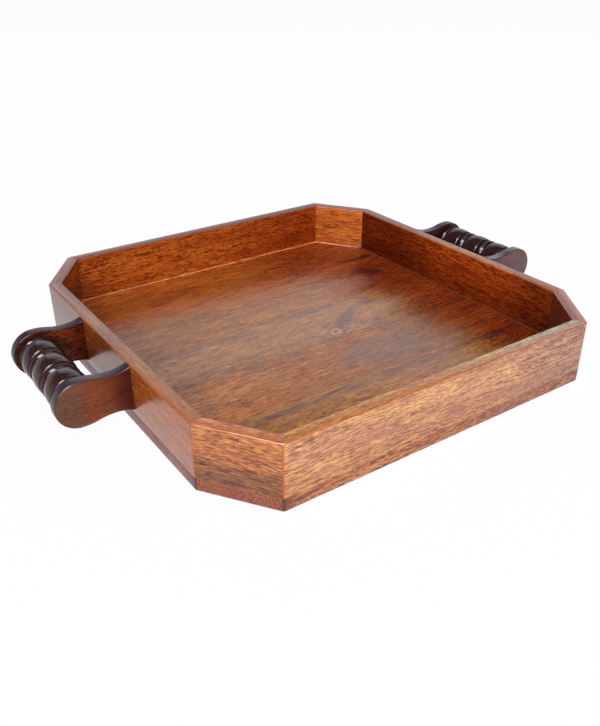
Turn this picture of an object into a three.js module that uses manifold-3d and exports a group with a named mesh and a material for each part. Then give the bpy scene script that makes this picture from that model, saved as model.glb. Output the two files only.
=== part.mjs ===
import * as THREE from 'three';
import Module from 'manifold-3d';
import { mergeVertices } from 'three/addons/utils/BufferGeometryUtils.js';

// Eight-sided serving tray of solid hardwood with a turned handle on each of two opposite walls.
// Millimetres, +Z up. The origin is on the underside, below the middle of the body.
// +X runs from the left handle to the right one, and +Y from the front wall to the back one.

// Body
const BODY_LENGTH = 380;
const BODY_WIDTH = 392;
const CORNER_REACH_X = 38;
const CORNER_REACH_Y = 55;
const WALL_THICKNESS = 11;
const WALL_HEIGHT = 45;
const BASE_THICKNESS = 11;
const ARRIS_RADIUS = 4;
const RIM_EASE = 1.2;
const FOOT_EASE = 1.2;

// Base boards: the glued joints, as shares of the body's half width, and the one butt joint
// in the second row, as a share of its half length
const BASE_JOINT_SHARES = [-0.51, -0.16, 0.16, 0.51];
const BUTT_JOINT_SHARE = 0.32;

// Handles, measured from the outer face of the wall and from the spindle's axis. They are fitted
// by eye, so each has its own place along its wall and its own height.
const HANDLE_WIDTH = 106.5;
const LEFT_HANDLE_OFFSET = 10.5;
const LEFT_AXIS_HEIGHT = 34.2;
const RIGHT_HANDLE_OFFSET = 4.5;
const RIGHT_AXIS_HEIGHT = 36.4;
const BRACKET_THICKNESS = 9.5;
const BRACKET_REACH = 41.6;
const ROUND_END_RADIUS = 19.6;
const WAIST_REACH = 15.5;
const WAIST_HALF_HEIGHT = 16.4;
const WALL_END_HALF_HEIGHT = 19.4;
const BRACKET_EASE = 0.9;

// Turned spindle
const BARREL_COUNT = 3;
const CREST_RADIUS = 17.3;
const SHOULDER_RADIUS = 16.8;
const SHOULDER_WIDTH = 2.4;
const FOOT_RADIUS = 14.9;
const GROOVE_RADIUS = 14.1;
const GROOVE_WIDTH = 1.4;
const RING_RADIUS = 16.7;
const RING_WIDTH = 6.4;
const COLLAR_RADIUS = 16.2;
const COLLAR_WIDTH = 4.6;
const TENON_RADIUS = 6;

// Hidden joinery
const GLUE_LINE = 0.3;
const DOWEL_RADIUS = 2.5;
const DOWEL_LENGTH = 22;
const DOWEL_SPACING = 18;
const WALL_BORE_SKIN = 4;
const BRACKET_BORE_SKIN = 3;
const SCREW_LENGTH = 20;
const SCREW_RADIUS = 1.75;
const SCREW_HEAD_RADIUS = 3.4;
const SCREW_TIP_LENGTH = 4;
const SCREW_HEAD_RECESS = 0.4;
const SCREW_SPREAD = 95;

// How finely round stretches are divided, and how far a cut runs past what it cuts
const ARRIS_STEPS = 3;
const EASE_STEPS = 1;
const OUTLINE_STEPS = 10;
const BARREL_STEPS = 4;
const RING_STEPS = 5;
const SHOULDER_STEPS = 3;
const SPINDLE_SIDES = 24;
const BORE_SIDES = 12;
const CUT_OVERRUN = 5;
const SAME_POINT = 0.001;

const QUARTER_TURN = Math.PI / 2;

const wasm = await Module();
wasm.setup();

// Solids and geometries

function toSolid(geometry) {
  const bare = geometry.clone();
  bare.deleteAttribute('normal');
  bare.deleteAttribute('uv');
  const merged = mergeVertices(bare);
  const corners = merged.index.array;
  const kept = [];
  for (let i = 0; i < corners.length; i += 3) {
    const [a, b, c] = corners.slice(i, i + 3);
    if (a !== b && b !== c && c !== a) {
      kept.push(a, b, c);
    }
  }
  return new wasm.Manifold(new wasm.Mesh({
    numProp: 3,
    vertProperties: new Float32Array(merged.attributes.position.array),
    triVerts: new Uint32Array(kept),
  }));
}

function toGeometry(solid) {
  const mesh = solid.getMesh();
  const geometry = new THREE.BufferGeometry();
  geometry.setAttribute('position', new THREE.BufferAttribute(new Float32Array(mesh.vertProperties), 3));
  geometry.setIndex(new THREE.BufferAttribute(new Uint32Array(mesh.triVerts), 1));
  const faceted = geometry.toNonIndexed();
  faceted.computeVertexNormals();
  return faceted;
}

// Where two curves of an outline meet, their shared point is kept once

function outlinePoints(path, steps) {
  const points = path.getPoints(steps);
  return points.filter((point, index) => {
    const previous = points[(index + points.length - 1) % points.length];
    return point.distanceTo(previous) > SAME_POINT;
  });
}

function prism(shape, depth, steps) {
  const outline = new THREE.Shape(outlinePoints(shape, steps));
  return new THREE.ExtrudeGeometry(outline, { depth, bevelEnabled: false });
}

function cutBores(solid, bores) {
  return bores.reduce((rest, bore) => rest.subtract(toSolid(bore)), solid);
}

// Wood tones and steel

const WOODS = {
  base: [0x8a5430, 0x7d4d2e, 0x85502c, 0x93592f, 0x8f4a20],
  wall: 0x9a5a34,
  corner: 0xa35f31,
  bracket: 0x5e3a2c,
  spindle: 0x33211d,
  dowel: 0xc9a36c,
};

function lacqueredWood(color) {
  return new THREE.MeshStandardMaterial({ color, roughness: 0.32, metalness: 0 });
}

function bareWood(color) {
  return new THREE.MeshStandardMaterial({ color, roughness: 0.75, metalness: 0 });
}

function platedSteel() {
  return new THREE.MeshStandardMaterial({ color: 0xb9b7ad, roughness: 0.38, metalness: 1 });
}

function named(name, geometry, material) {
  const mesh = new THREE.Mesh(geometry, material);
  mesh.name = name;
  return mesh;
}

// The eight sides, counter-clockwise from the corner board at the front right

const SIDE_NAMES = [
  'corner_front_right',
  'wall_right',
  'corner_back_right',
  'wall_back',
  'corner_back_left',
  'wall_left',
  'corner_front_left',
  'wall_front',
];

function bodyCorners() {
  const halfLength = BODY_LENGTH / 2;
  const halfWidth = BODY_WIDTH / 2;
  const nearX = halfLength - CORNER_REACH_X;
  const nearY = halfWidth - CORNER_REACH_Y;
  return [
    new THREE.Vector2(nearX, -halfWidth),
    new THREE.Vector2(halfLength, -nearY),
    new THREE.Vector2(halfLength, nearY),
    new THREE.Vector2(nearX, halfWidth),
    new THREE.Vector2(-nearX, halfWidth),
    new THREE.Vector2(-halfLength, nearY),
    new THREE.Vector2(-halfLength, -nearY),
    new THREE.Vector2(-nearX, -halfWidth),
  ];
}

function bodySides() {
  const corners = bodyCorners();
  const sides = corners.map((start, index) => {
    const end = corners[(index + 1) % corners.length];
    const run = end.clone().sub(start);
    return { name: SIDE_NAMES[index], start, length: run.length(), heading: run.angle() };
  });
  sides.forEach((side, index) => {
    const previous = sides[(index + sides.length - 1) % sides.length];
    const turn = side.heading - previous.heading;
    side.startHalfTurn = ((turn + 2 * Math.PI) % (2 * Math.PI)) / 2;
    previous.endHalfTurn = side.startHalfTurn;
  });
  return sides;
}

// The body's outline, with its upright arrises rounded

function bodyOutline(sides) {
  const outline = new THREE.Shape();
  for (const side of sides) {
    const inward = side.heading + QUARTER_TURN - side.startHalfTurn;
    const centreDistance = ARRIS_RADIUS / Math.cos(side.startHalfTurn);
    const x = side.start.x + centreDistance * Math.cos(inward);
    const y = side.start.y + centreDistance * Math.sin(inward);
    const arcEnd = side.heading - QUARTER_TURN;
    outline.absarc(x, y, ARRIS_RADIUS, arcEnd - 2 * side.startHalfTurn, arcEnd, false);
  }
  outline.closePath();
  return outline;
}

// Screws: each stands upright in the middle of a wall's thickness, its head inside the base.
// Front and back walls have three each, handle walls one to each base board that ends
// under them, and corner boards one.

function screwGeometry() {
  const coneTop = SCREW_HEAD_RECESS + SCREW_HEAD_RADIUS - SCREW_RADIUS;
  const tip = SCREW_HEAD_RECESS + SCREW_LENGTH;
  const profile = [
    new THREE.Vector2(0, SCREW_HEAD_RECESS),
    new THREE.Vector2(SCREW_HEAD_RADIUS, SCREW_HEAD_RECESS),
    new THREE.Vector2(SCREW_RADIUS, coneTop),
    new THREE.Vector2(SCREW_RADIUS, tip - SCREW_TIP_LENGTH),
    new THREE.Vector2(0, tip),
  ];
  return new THREE.LatheGeometry(profile, BORE_SIDES).rotateX(QUARTER_TURN);
}

function screwBore(x, y) {
  const coneTop = SCREW_HEAD_RECESS + SCREW_HEAD_RADIUS - SCREW_RADIUS;
  const top = SCREW_HEAD_RECESS + SCREW_LENGTH + GLUE_LINE;
  const profile = [
    new THREE.Vector2(0, -CUT_OVERRUN),
    new THREE.Vector2(SCREW_HEAD_RADIUS + GLUE_LINE, -CUT_OVERRUN),
    new THREE.Vector2(SCREW_HEAD_RADIUS + GLUE_LINE, SCREW_HEAD_RECESS),
    new THREE.Vector2(SCREW_RADIUS + GLUE_LINE, coneTop),
    new THREE.Vector2(SCREW_RADIUS + GLUE_LINE, top),
    new THREE.Vector2(0, top),
  ];
  return new THREE.LatheGeometry(profile, BORE_SIDES).rotateX(QUARTER_TURN).translate(x, y, 0);
}

function screwPlaces(side) {
  const middle = side.length / 2;
  if (side.handle) {
    const joints = baseJoints();
    const rowMiddles = joints.slice(1).map((joint, index) => (joint + joints[index]) / 2);
    return rowMiddles.map((place) => middle + place * side.handle.alongWorldY);
  }
  if (side.name.startsWith('wall')) {
    return [-SCREW_SPREAD, 0, SCREW_SPREAD].map((place) => middle + place);
  }
  return [middle];
}

// Handles: the frame of each is on its wall's outer face, level with the spindle's axis,
// with +X pointing away from the wall and +Y along it

function fitHandle(side, offset, axisHeight) {
  const alongWorldY = Math.round(Math.sin(side.heading));
  const frame = new THREE.Group();
  frame.position.set(side.length / 2 + offset * alongWorldY, 0, axisHeight);
  frame.rotation.z = -QUARTER_TURN;
  frame.updateMatrix();
  side.handle = { frame, alongWorldY };
}

function bracketMiddle() {
  return (HANDLE_WIDTH - BRACKET_THICKNESS) / 2;
}

function bracketOutline() {
  const outline = new THREE.Shape();
  const coveControl = WAIST_REACH / 2;
  const bend = (BRACKET_REACH - WAIST_REACH) / 2;
  outline.moveTo(-CUT_OVERRUN, -WALL_END_HALF_HEIGHT);
  outline.lineTo(0, -WALL_END_HALF_HEIGHT);
  outline.quadraticCurveTo(coveControl, -WAIST_HALF_HEIGHT, WAIST_REACH, -WAIST_HALF_HEIGHT);
  outline.bezierCurveTo(
    WAIST_REACH + bend, -WAIST_HALF_HEIGHT,
    BRACKET_REACH - bend, -ROUND_END_RADIUS,
    BRACKET_REACH, -ROUND_END_RADIUS,
  );
  outline.absarc(BRACKET_REACH, 0, ROUND_END_RADIUS, -QUARTER_TURN, QUARTER_TURN, false);
  outline.bezierCurveTo(
    BRACKET_REACH - bend, ROUND_END_RADIUS,
    WAIST_REACH + bend, WAIST_HALF_HEIGHT,
    WAIST_REACH, WAIST_HALF_HEIGHT,
  );
  outline.quadraticCurveTo(coveControl, WAIST_HALF_HEIGHT, 0, WALL_END_HALF_HEIGHT);
  outline.lineTo(-CUT_OVERRUN, WALL_END_HALF_HEIGHT);
  outline.closePath();
  return outline;
}

function dowelSpan() {
  const wallDepth = WALL_THICKNESS - WALL_BORE_SKIN;
  return { inner: GLUE_LINE - wallDepth, outer: GLUE_LINE - wallDepth + DOWEL_LENGTH };
}

function dowelGeometry(radius, inner, outer, y, z) {
  return new THREE.CylinderGeometry(radius, radius, outer - inner, BORE_SIDES)
    .rotateZ(QUARTER_TURN)
    .translate((inner + outer) / 2, y, z);
}

function dowelBores(y) {
  const span = dowelSpan();
  return [-DOWEL_SPACING / 2, DOWEL_SPACING / 2].map((z) => dowelGeometry(
    DOWEL_RADIUS + GLUE_LINE, span.inner - GLUE_LINE, span.outer + GLUE_LINE, y, z,
  ));
}

function bracketGeometry(towards) {
  const outline = new THREE.Shape(outlinePoints(bracketOutline(), OUTLINE_STEPS));
  const plate = new THREE.ExtrudeGeometry(outline, {
    depth: BRACKET_THICKNESS - 2 * BRACKET_EASE,
    bevelThickness: BRACKET_EASE,
    bevelSize: BRACKET_EASE,
    bevelOffset: -BRACKET_EASE,
    bevelSegments: EASE_STEPS,
  });
  plate.rotateX(QUARTER_TURN);
  plate.translate(0, towards * bracketMiddle() + BRACKET_THICKNESS / 2 - BRACKET_EASE, 0);
  const innerFace = HANDLE_WIDTH / 2 - BRACKET_THICKNESS;
  const boreEnd = HANDLE_WIDTH / 2 - BRACKET_BORE_SKIN;
  const boreStart = innerFace - CUT_OVERRUN;
  const tenonBore = new THREE.CylinderGeometry(
    TENON_RADIUS + GLUE_LINE, TENON_RADIUS + GLUE_LINE, boreEnd - boreStart, SPINDLE_SIDES,
  ).translate(BRACKET_REACH, towards * (boreStart + boreEnd) / 2, 0);
  const pastWall = new THREE.BoxGeometry(2 * CUT_OVERRUN, 2 * HANDLE_WIDTH, 2 * HANDLE_WIDTH)
    .translate(GLUE_LINE - CUT_OVERRUN, 0, 0);
  const cuts = [pastWall, tenonBore, ...dowelBores(towards * bracketMiddle())];
  return toGeometry(cutBores(toSolid(plate), cuts));
}

// The spindle's profile runs from tenon to tenon: collar, groove, barrel, groove, ring,
// groove, barrel and so on. The barrels share what the collars, rings and grooves leave.

function spindleProfile() {
  const face = HANDLE_WIDTH / 2 - BRACKET_THICKNESS - GLUE_LINE;
  const tenonEnd = HANDLE_WIDTH / 2 - BRACKET_BORE_SKIN - GLUE_LINE;
  const ringZone = RING_WIDTH + 2 * GROOVE_WIDTH;
  const endZone = COLLAR_WIDTH + GROOVE_WIDTH;
  const barrelLength = (2 * face - 2 * endZone - (BARREL_COUNT - 1) * ringZone) / BARREL_COUNT;
  const points = [new THREE.Vector2(0, -tenonEnd), new THREE.Vector2(TENON_RADIUS, -tenonEnd)];
  points.push(new THREE.Vector2(TENON_RADIUS, -face));
  let y = -face;

  function curve(start, control, end, width, steps) {
    const from = new THREE.Vector2(start, y);
    const through = new THREE.Vector2(control.x, y + control.y);
    const to = new THREE.Vector2(end, y + width);
    points.push(...new THREE.QuadraticBezierCurve(from, through, to).getPoints(steps));
    y += width;
  }

  function bead(radius, foot, width, steps) {
    curve(foot, { x: 2 * radius - foot, y: width / 2 }, foot, width, steps);
  }

  function groove() {
    points.push(new THREE.Vector2(GROOVE_RADIUS, y + GROOVE_WIDTH / 2));
    y += GROOVE_WIDTH;
  }

  function barrel() {
    const width = SHOULDER_WIDTH;
    curve(FOOT_RADIUS, { x: SHOULDER_RADIUS, y: 0 }, SHOULDER_RADIUS, width, SHOULDER_STEPS);
    bead(CREST_RADIUS, SHOULDER_RADIUS, barrelLength - 2 * width, BARREL_STEPS);
    curve(SHOULDER_RADIUS, { x: SHOULDER_RADIUS, y: width }, FOOT_RADIUS, width, SHOULDER_STEPS);
  }

  bead(COLLAR_RADIUS, FOOT_RADIUS, COLLAR_WIDTH, RING_STEPS);
  groove();
  for (let index = 0; index < BARREL_COUNT; index += 1) {
    if (index > 0) {
      groove();
      bead(RING_RADIUS, FOOT_RADIUS, RING_WIDTH, RING_STEPS);
      groove();
    }
    barrel();
  }
  groove();
  bead(COLLAR_RADIUS, FOOT_RADIUS, COLLAR_WIDTH, RING_STEPS);
  points.push(new THREE.Vector2(TENON_RADIUS, face), new THREE.Vector2(TENON_RADIUS, tenonEnd));
  points.push(new THREE.Vector2(0, tenonEnd));
  return points.filter((point, index) => index === 0 || point.distanceTo(points[index - 1]) > SAME_POINT);
}

function spindleGeometry() {
  return new THREE.LatheGeometry(spindleProfile(), SPINDLE_SIDES).translate(BRACKET_REACH, 0, 0);
}

function makeHandle(side, label) {
  const { frame, alongWorldY } = side.handle;
  for (const towards of [-1, 1]) {
    const end = towards * alongWorldY < 0 ? 'front' : 'back';
    const bracket = bracketGeometry(towards);
    frame.add(named(`bracket_${label}_${end}`, bracket, lacqueredWood(WOODS.bracket)));
    const span = dowelSpan();
    for (const [level, z] of [['lower', -DOWEL_SPACING / 2], ['upper', DOWEL_SPACING / 2]]) {
      const dowel = dowelGeometry(DOWEL_RADIUS, span.inner, span.outer, towards * bracketMiddle(), z);
      frame.add(named(`dowel_${label}_${end}_${level}`, dowel, bareWood(WOODS.dowel)));
    }
  }
  frame.add(named(`spindle_${label}`, spindleGeometry(), lacqueredWood(WOODS.spindle)));
}

// Walls and corner boards: the frame of each starts at its outer corner on the underside,
// with +X along the board and +Y inwards

function boardPlan(side) {
  const startShift = GLUE_LINE / 2 / Math.cos(side.startHalfTurn);
  const endShift = GLUE_LINE / 2 / Math.cos(side.endHalfTurn);
  const startSlope = Math.tan(side.startHalfTurn);
  const endSlope = Math.tan(side.endHalfTurn);
  const plan = new THREE.Shape();
  plan.moveTo(side.length - endShift - WALL_THICKNESS * endSlope, WALL_THICKNESS);
  plan.lineTo(startShift + WALL_THICKNESS * startSlope, WALL_THICKNESS);
  plan.absarc(
    startShift + ARRIS_RADIUS * startSlope, ARRIS_RADIUS, ARRIS_RADIUS,
    -QUARTER_TURN - side.startHalfTurn, -QUARTER_TURN, false,
  );
  plan.absarc(
    side.length - endShift - ARRIS_RADIUS * endSlope, ARRIS_RADIUS, ARRIS_RADIUS,
    -QUARTER_TURN, -QUARTER_TURN + side.endHalfTurn, false,
  );
  plan.closePath();
  return plan;
}

function boardSection() {
  const foot = BASE_THICKNESS + GLUE_LINE;
  const eased = BASE_THICKNESS + WALL_HEIGHT - RIM_EASE;
  const section = new THREE.Shape();
  section.moveTo(0, foot);
  section.lineTo(WALL_THICKNESS, foot);
  section.absarc(WALL_THICKNESS - RIM_EASE, eased, RIM_EASE, 0, QUARTER_TURN, false);
  section.absarc(RIM_EASE, eased, RIM_EASE, QUARTER_TURN, Math.PI, false);
  section.closePath();
  return section;
}

function boardGeometry(side) {
  const plan = prism(boardPlan(side), BASE_THICKNESS + WALL_HEIGHT + CUT_OVERRUN, ARRIS_STEPS);
  const section = prism(boardSection(), side.length + 2 * CUT_OVERRUN, ARRIS_STEPS);
  const across = new THREE.Vector3(0, 1, 0);
  const up = new THREE.Vector3(0, 0, 1);
  const along = new THREE.Vector3(1, 0, 0);
  section.applyMatrix4(new THREE.Matrix4().makeBasis(across, up, along));
  section.translate(-CUT_OVERRUN, 0, 0);
  const bores = screwPlaces(side).map((place) => screwBore(place, WALL_THICKNESS / 2));
  if (side.handle) {
    for (const towards of [-1, 1]) {
      for (const bore of dowelBores(towards * bracketMiddle())) {
        bores.push(bore.applyMatrix4(side.handle.frame.matrix));
      }
    }
  }
  return toGeometry(cutBores(toSolid(plan).intersect(toSolid(section)), bores));
}

function makeSide(side) {
  const frame = new THREE.Group();
  frame.position.set(side.start.x, side.start.y, 0);
  frame.rotation.z = side.heading;
  const tone = side.name.startsWith('wall') ? WOODS.wall : WOODS.corner;
  frame.add(named(side.name, boardGeometry(side), lacqueredWood(tone)));
  screwPlaces(side).forEach((place, index) => {
    const label = side.name.replace('wall_', '');
    const screw = named(`screw_${label}_${index + 1}`, screwGeometry(), platedSteel());
    screw.position.set(place, WALL_THICKNESS / 2, 0);
    frame.add(screw);
  });
  if (side.handle) {
    makeHandle(side, side.name.replace('wall_', ''));
    frame.add(side.handle.frame);
  }
  return frame;
}

// Base: one rounded octagon with its lower edge eased, bored for the screws, then parted
// along the glued joints

function baseJoints() {
  return BASE_JOINT_SHARES.map((share) => share * BODY_WIDTH / 2);
}

function baseRows() {
  const halfWidth = BODY_WIDTH / 2;
  const halfLength = BODY_LENGTH / 2;
  const end = halfLength + CUT_OVERRUN;
  const butt = halfLength * BUTT_JOINT_SHARE;
  const [frontJoint, splitJoint, middleJoint, backJoint] = baseJoints();
  return [
    { name: 'front', x: [-end, end], y: [-halfWidth - CUT_OVERRUN, frontJoint] },
    { name: 'split_left', x: [-end, butt], y: [frontJoint, splitJoint] },
    { name: 'split_right', x: [butt, end], y: [frontJoint, splitJoint] },
    { name: 'middle', x: [-end, end], y: [splitJoint, middleJoint] },
    { name: 'inner_back', x: [-end, end], y: [middleJoint, backJoint] },
    { name: 'back', x: [-end, end], y: [backJoint, halfWidth + CUT_OVERRUN] },
  ];
}

function baseBlank(sides) {
  const outline = new THREE.Shape(outlinePoints(bodyOutline(sides), ARRIS_STEPS));
  return new THREE.ExtrudeGeometry(outline, {
    depth: BASE_THICKNESS,
    bevelThickness: FOOT_EASE,
    bevelSize: FOOT_EASE,
    bevelOffset: -FOOT_EASE,
    bevelSegments: EASE_STEPS,
  }).translate(0, 0, FOOT_EASE);
}

function makeBase(sides) {
  const base = new THREE.Group();
  const bores = [];
  for (const side of sides) {
    for (const place of screwPlaces(side)) {
      const centre = new THREE.Vector2(place, WALL_THICKNESS / 2)
        .rotateAround(new THREE.Vector2(), side.heading)
        .add(side.start);
      bores.push(screwBore(centre.x, centre.y));
    }
  }
  const blank = cutBores(toSolid(baseBlank(sides)), bores);
  baseRows().forEach((row, index) => {
    const width = row.x[1] - row.x[0] - GLUE_LINE;
    const depth = row.y[1] - row.y[0] - GLUE_LINE;
    const strip = new THREE.BoxGeometry(width, depth, 2 * BASE_THICKNESS);
    strip.translate((row.x[0] + row.x[1]) / 2, (row.y[0] + row.y[1]) / 2, 0);
    const board = toGeometry(blank.intersect(toSolid(strip)));
    const tone = WOODS.base[index % WOODS.base.length];
    base.add(named(`base_board_${row.name}`, board, lacqueredWood(tone)));
  });
  return base;
}

// Assembly

function makeTray() {
  const tray = new THREE.Group();
  const sides = bodySides();
  const [left, right] = ['wall_left', 'wall_right'].map((name) => sides.find((side) => side.name === name));
  fitHandle(left, LEFT_HANDLE_OFFSET, LEFT_AXIS_HEIGHT);
  fitHandle(right, RIGHT_HANDLE_OFFSET, RIGHT_AXIS_HEIGHT);
  tray.add(makeBase(sides));
  for (const side of sides) {
    tray.add(makeSide(side));
  }
  return tray;
}

export default makeTray();
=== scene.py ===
"""Eight-sided wooden serving tray with turned handles, dressed for rendering.

Metres, +Z up, origin on the underside below the middle of the body. +X runs from the left
handle to the right one, +Y from the front wall to the back one.
"""

import math

import bmesh
import bpy
from bpy.props import FloatProperty, FloatVectorProperty, IntProperty, PointerProperty
from bpy.types import NodeSocket, Operator, Panel, PropertyGroup
from mathutils import Matrix, Vector


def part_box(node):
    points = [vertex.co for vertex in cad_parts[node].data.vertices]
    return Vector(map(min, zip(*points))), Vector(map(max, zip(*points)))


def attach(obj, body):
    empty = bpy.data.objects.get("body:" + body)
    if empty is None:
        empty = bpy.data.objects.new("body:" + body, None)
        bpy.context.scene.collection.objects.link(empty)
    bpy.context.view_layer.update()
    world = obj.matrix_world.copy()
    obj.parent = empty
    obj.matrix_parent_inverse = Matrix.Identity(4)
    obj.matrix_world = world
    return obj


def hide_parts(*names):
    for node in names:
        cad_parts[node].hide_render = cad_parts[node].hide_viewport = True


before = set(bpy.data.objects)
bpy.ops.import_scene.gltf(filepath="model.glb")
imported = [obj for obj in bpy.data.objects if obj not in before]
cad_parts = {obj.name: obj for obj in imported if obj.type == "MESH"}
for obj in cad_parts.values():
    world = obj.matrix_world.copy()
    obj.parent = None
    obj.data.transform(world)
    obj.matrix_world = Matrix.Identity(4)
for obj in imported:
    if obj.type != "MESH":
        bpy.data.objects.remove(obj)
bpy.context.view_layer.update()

bl_info = {
    "name": "Wooden Tray",
    "version": (1, 0, 0),
    "blender": (4, 5, 0),
    "location": "View3D > Sidebar > Tray",
    "description": "Builds a lacquered eight-sided serving tray with turned handles",
    "category": "Add Mesh",
}

MM = 0.001
QUARTER_TURN = math.pi / 2
BODY = "root"
X, Y, Z = 0, 1, 2

# The frame: pieces and the sizes that they give

ROWS = ["front", "split_left", "split_right", "middle", "inner_back", "back"]
SIDES = [
    "corner_front_right", "wall_right", "corner_back_right", "wall_back",
    "corner_back_left", "wall_left", "corner_front_left", "wall_front",
]
HANDLES = {"left": -1, "right": 1}
ENDS = ["front", "back"]


def lowest(node, axis):
    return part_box(node)[0][axis]


def highest(node, axis):
    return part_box(node)[1][axis]


def middle(node):
    low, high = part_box(node)
    return (low + high) / 2


def nodes_like(prefix):
    return sorted(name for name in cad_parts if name.startswith(prefix))


HALF_LENGTH = highest("base_board_middle", X)
HALF_WIDTH = highest("base_board_back", Y)
BASE_TOP = highest("base_board_middle", Z)
RIM_TOP = highest("wall_front", Z)
WALL_THICKNESS = highest("wall_front", Y) - lowest("wall_front", Y)

# Faces in the small rounding of a joint and in a bracket's edge and outline, and the
# divisions along and round a spindle and a screw
JOINT_STEPS = 3
BRACKET_EASE_STEPS = 6
BRACKET_STEPS = 24
SPINDLE_STEPS = {"Steps": 561, "Sides": 97}
SCREW_STEPS = {"Steps": 121, "Sides": 33}


# What a user would change


def length(name, description, millimetres):
    return FloatProperty(
        name=name, description=description, default=millimetres * MM, unit="LENGTH", precision=5
    )


def tone(name, description, red, green, blue):
    """A colour property, written as display values from 0 to 255."""
    default = linear_colour(red, green, blue)
    return FloatVectorProperty(
        name=name, description=description, default=default, subtype="COLOR", size=3, min=0, max=1
    )


def linear_colour(red, green, blue):
    return tuple(linear_value(part / 255) for part in (red, green, blue))


def linear_value(shown):
    if shown <= 0.04045:
        return shown / 12.92
    return ((shown + 0.055) / 1.055) ** 2.4


class TrayBody(PropertyGroup):
    """Sizes of the base and the walls that the frame's boxes don't give."""

    corner_reach_x: length("Corner Reach X", "How far a corner board reaches along X", 38)
    corner_reach_y: length("Corner Reach Y", "How far a corner board reaches along Y", 55)
    arris_radius: length("Arris Radius", "Rounding of the upright outer arrises", 4)
    rim_ease: length("Rim Ease", "Rounding of the rim's two long arrises", 1.2)
    foot_ease: length("Foot Ease", "Rounding of the base's lower edge", 0.8)
    joint_ease: length("Joint Ease", "Small rounding where the walls meet the base", 0.15)
    joint_gap: length("Joint Gap", "Open width of a closed joint", 0.06)
    curve_steps: IntProperty(name="Curve Steps", description="Faces in a rounding", default=8, min=2)


class TrayHandle(PropertyGroup):
    """Sizes of the brackets and the turned spindle."""

    waist_reach: length("Waist Reach", "Distance of the bracket's waist from the wall", 15.5)
    waist_half_height: length("Waist Half Height", "Half the bracket's height at its waist", 16.4)
    wall_half_height: length("Wall Half Height", "Half the bracket's height at the wall", 19.4)
    bracket_ease: length("Bracket Ease", "Rounding of the bracket's edges", 0.9)
    shoulder_radius: length("Shoulder Radius", "Radius where a barrel's rounded end starts", 16.8)
    shoulder_width: length("Shoulder Width", "Width of a barrel's rounded end", 3.4)
    foot_radius: length("Foot Radius", "Radius at the foot of barrels, rings and collars", 14.9)
    groove_radius: length("Groove Radius", "Radius at the bottom of a groove", 13.5)
    groove_width: length("Groove Width", "Width of a groove", 1.4)
    ring_radius: length("Ring Radius", "Radius of the ring between two barrels", 16.7)
    ring_width: length("Ring Width", "Width of the ring between two barrels", 6.4)
    collar_radius: length("Collar Radius", "Radius of the collar at each bracket", 16.2)
    collar_width: length("Collar Width", "Width of the collar at each bracket", 4.6)
    tenon_radius: length("Tenon Radius", "Radius of the tenon in each bracket", 6)
    barrels: IntProperty(name="Barrels", description="Barrels on one spindle", default=3, min=1)


class TrayFixings(PropertyGroup):
    """Sizes of the hidden screws and dowels."""

    clearance: length("Clearance", "Room round a screw, a dowel or a tenon", 0.3)
    screw_radius: length("Screw Radius", "Radius over the thread", 1.75)
    screw_core: length("Screw Core", "Radius under the thread", 1.25)
    screw_head: length("Screw Head", "Radius of the countersunk head", 3.4)
    screw_pitch: length("Screw Pitch", "Distance between two turns of the thread", 1.6)
    screw_tip: length("Screw Tip", "Length of the pointed end", 4)
    fillet_size: length("Fillet Size", "Width of the lacquer left along the inner floor line", 0.75)


class TrayTones(PropertyGroup):
    """Colours of the finishes."""

    steel: tone("Steel", "Plated screws", 184, 181, 170)
    dowel: tone("Dowel", "Pale hardwood of the dowels", 201, 163, 108)
    # Shows only along the back wall, where it is a painted glint
    lacquer: tone("Lacquer", "Amber lacquer left in the corners", 226, 150, 84)
    floor: tone("Floor", "The pale floor that the tray stands on", 247, 247, 247)
    sky: tone("Sky", "The light from all round", 246, 241, 255)


class TrayStage(PropertyGroup):
    """Camera and lamps."""

    camera_distance: length("Camera Distance", "From the camera to the point it looks at", 637.3)
    focal_length: FloatProperty(
        name="Focal Length", description="On a sensor 36 mm wide", default=46.32, unit="CAMERA"
    )
    floor_reach: length("Floor Reach", "Radius of the pale floor", 9000)


# Meshes


def new_piece(name, mesh):
    piece = bpy.data.objects.new(name, mesh)
    bpy.context.scene.collection.objects.link(piece)
    return piece


def finish_piece(piece, material, replaced):
    """Gives a piece its finish, hangs it on the body and lets it stand for its CAD nodes."""
    piece.data.materials.clear()
    piece.data.materials.append(material)
    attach(piece, BODY)
    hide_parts(*replaced)


def loft(levels):
    """A closed solid through rings of equal length. A ring is a list of (point, wear)."""
    solid = bmesh.new()
    wear = solid.verts.layers.float.new("wear")
    rings = []
    for level in levels:
        ring = []
        for point, amount in level:
            vertex = solid.verts.new(point)
            vertex[wear] = amount
            ring.append(vertex)
        rings.append(ring)
    count = len(rings[0])
    for lower, upper in zip(rings, rings[1:]):
        for here in range(count):
            there = (here + 1) % count
            solid.faces.new((lower[here], lower[there], upper[there], upper[here]))
    solid.faces.new(reversed(rings[0]))
    solid.faces.new(rings[-1])
    return solid


def keep_side(solid, point, normal):
    """Cuts a solid along a plane, keeps what is behind the normal and closes the cut."""
    everything = solid.verts[:] + solid.edges[:] + solid.faces[:]
    bmesh.ops.bisect_plane(
        solid, geom=everything, dist=MM * MM, plane_co=point, plane_no=normal, clear_outer=True
    )
    open_edges = [edge for edge in solid.edges if edge.is_boundary]
    bmesh.ops.holes_fill(solid, edges=open_edges, sides=0)


def mesh_from(solid, name, sharp_angle=35):
    bmesh.ops.remove_doubles(solid, verts=solid.verts, dist=MM * MM)
    bmesh.ops.recalc_face_normals(solid, faces=solid.faces)
    mesh = bpy.data.meshes.new(name)
    solid.to_mesh(mesh)
    solid.free()
    smooth(mesh, sharp_angle)
    return mesh


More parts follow.
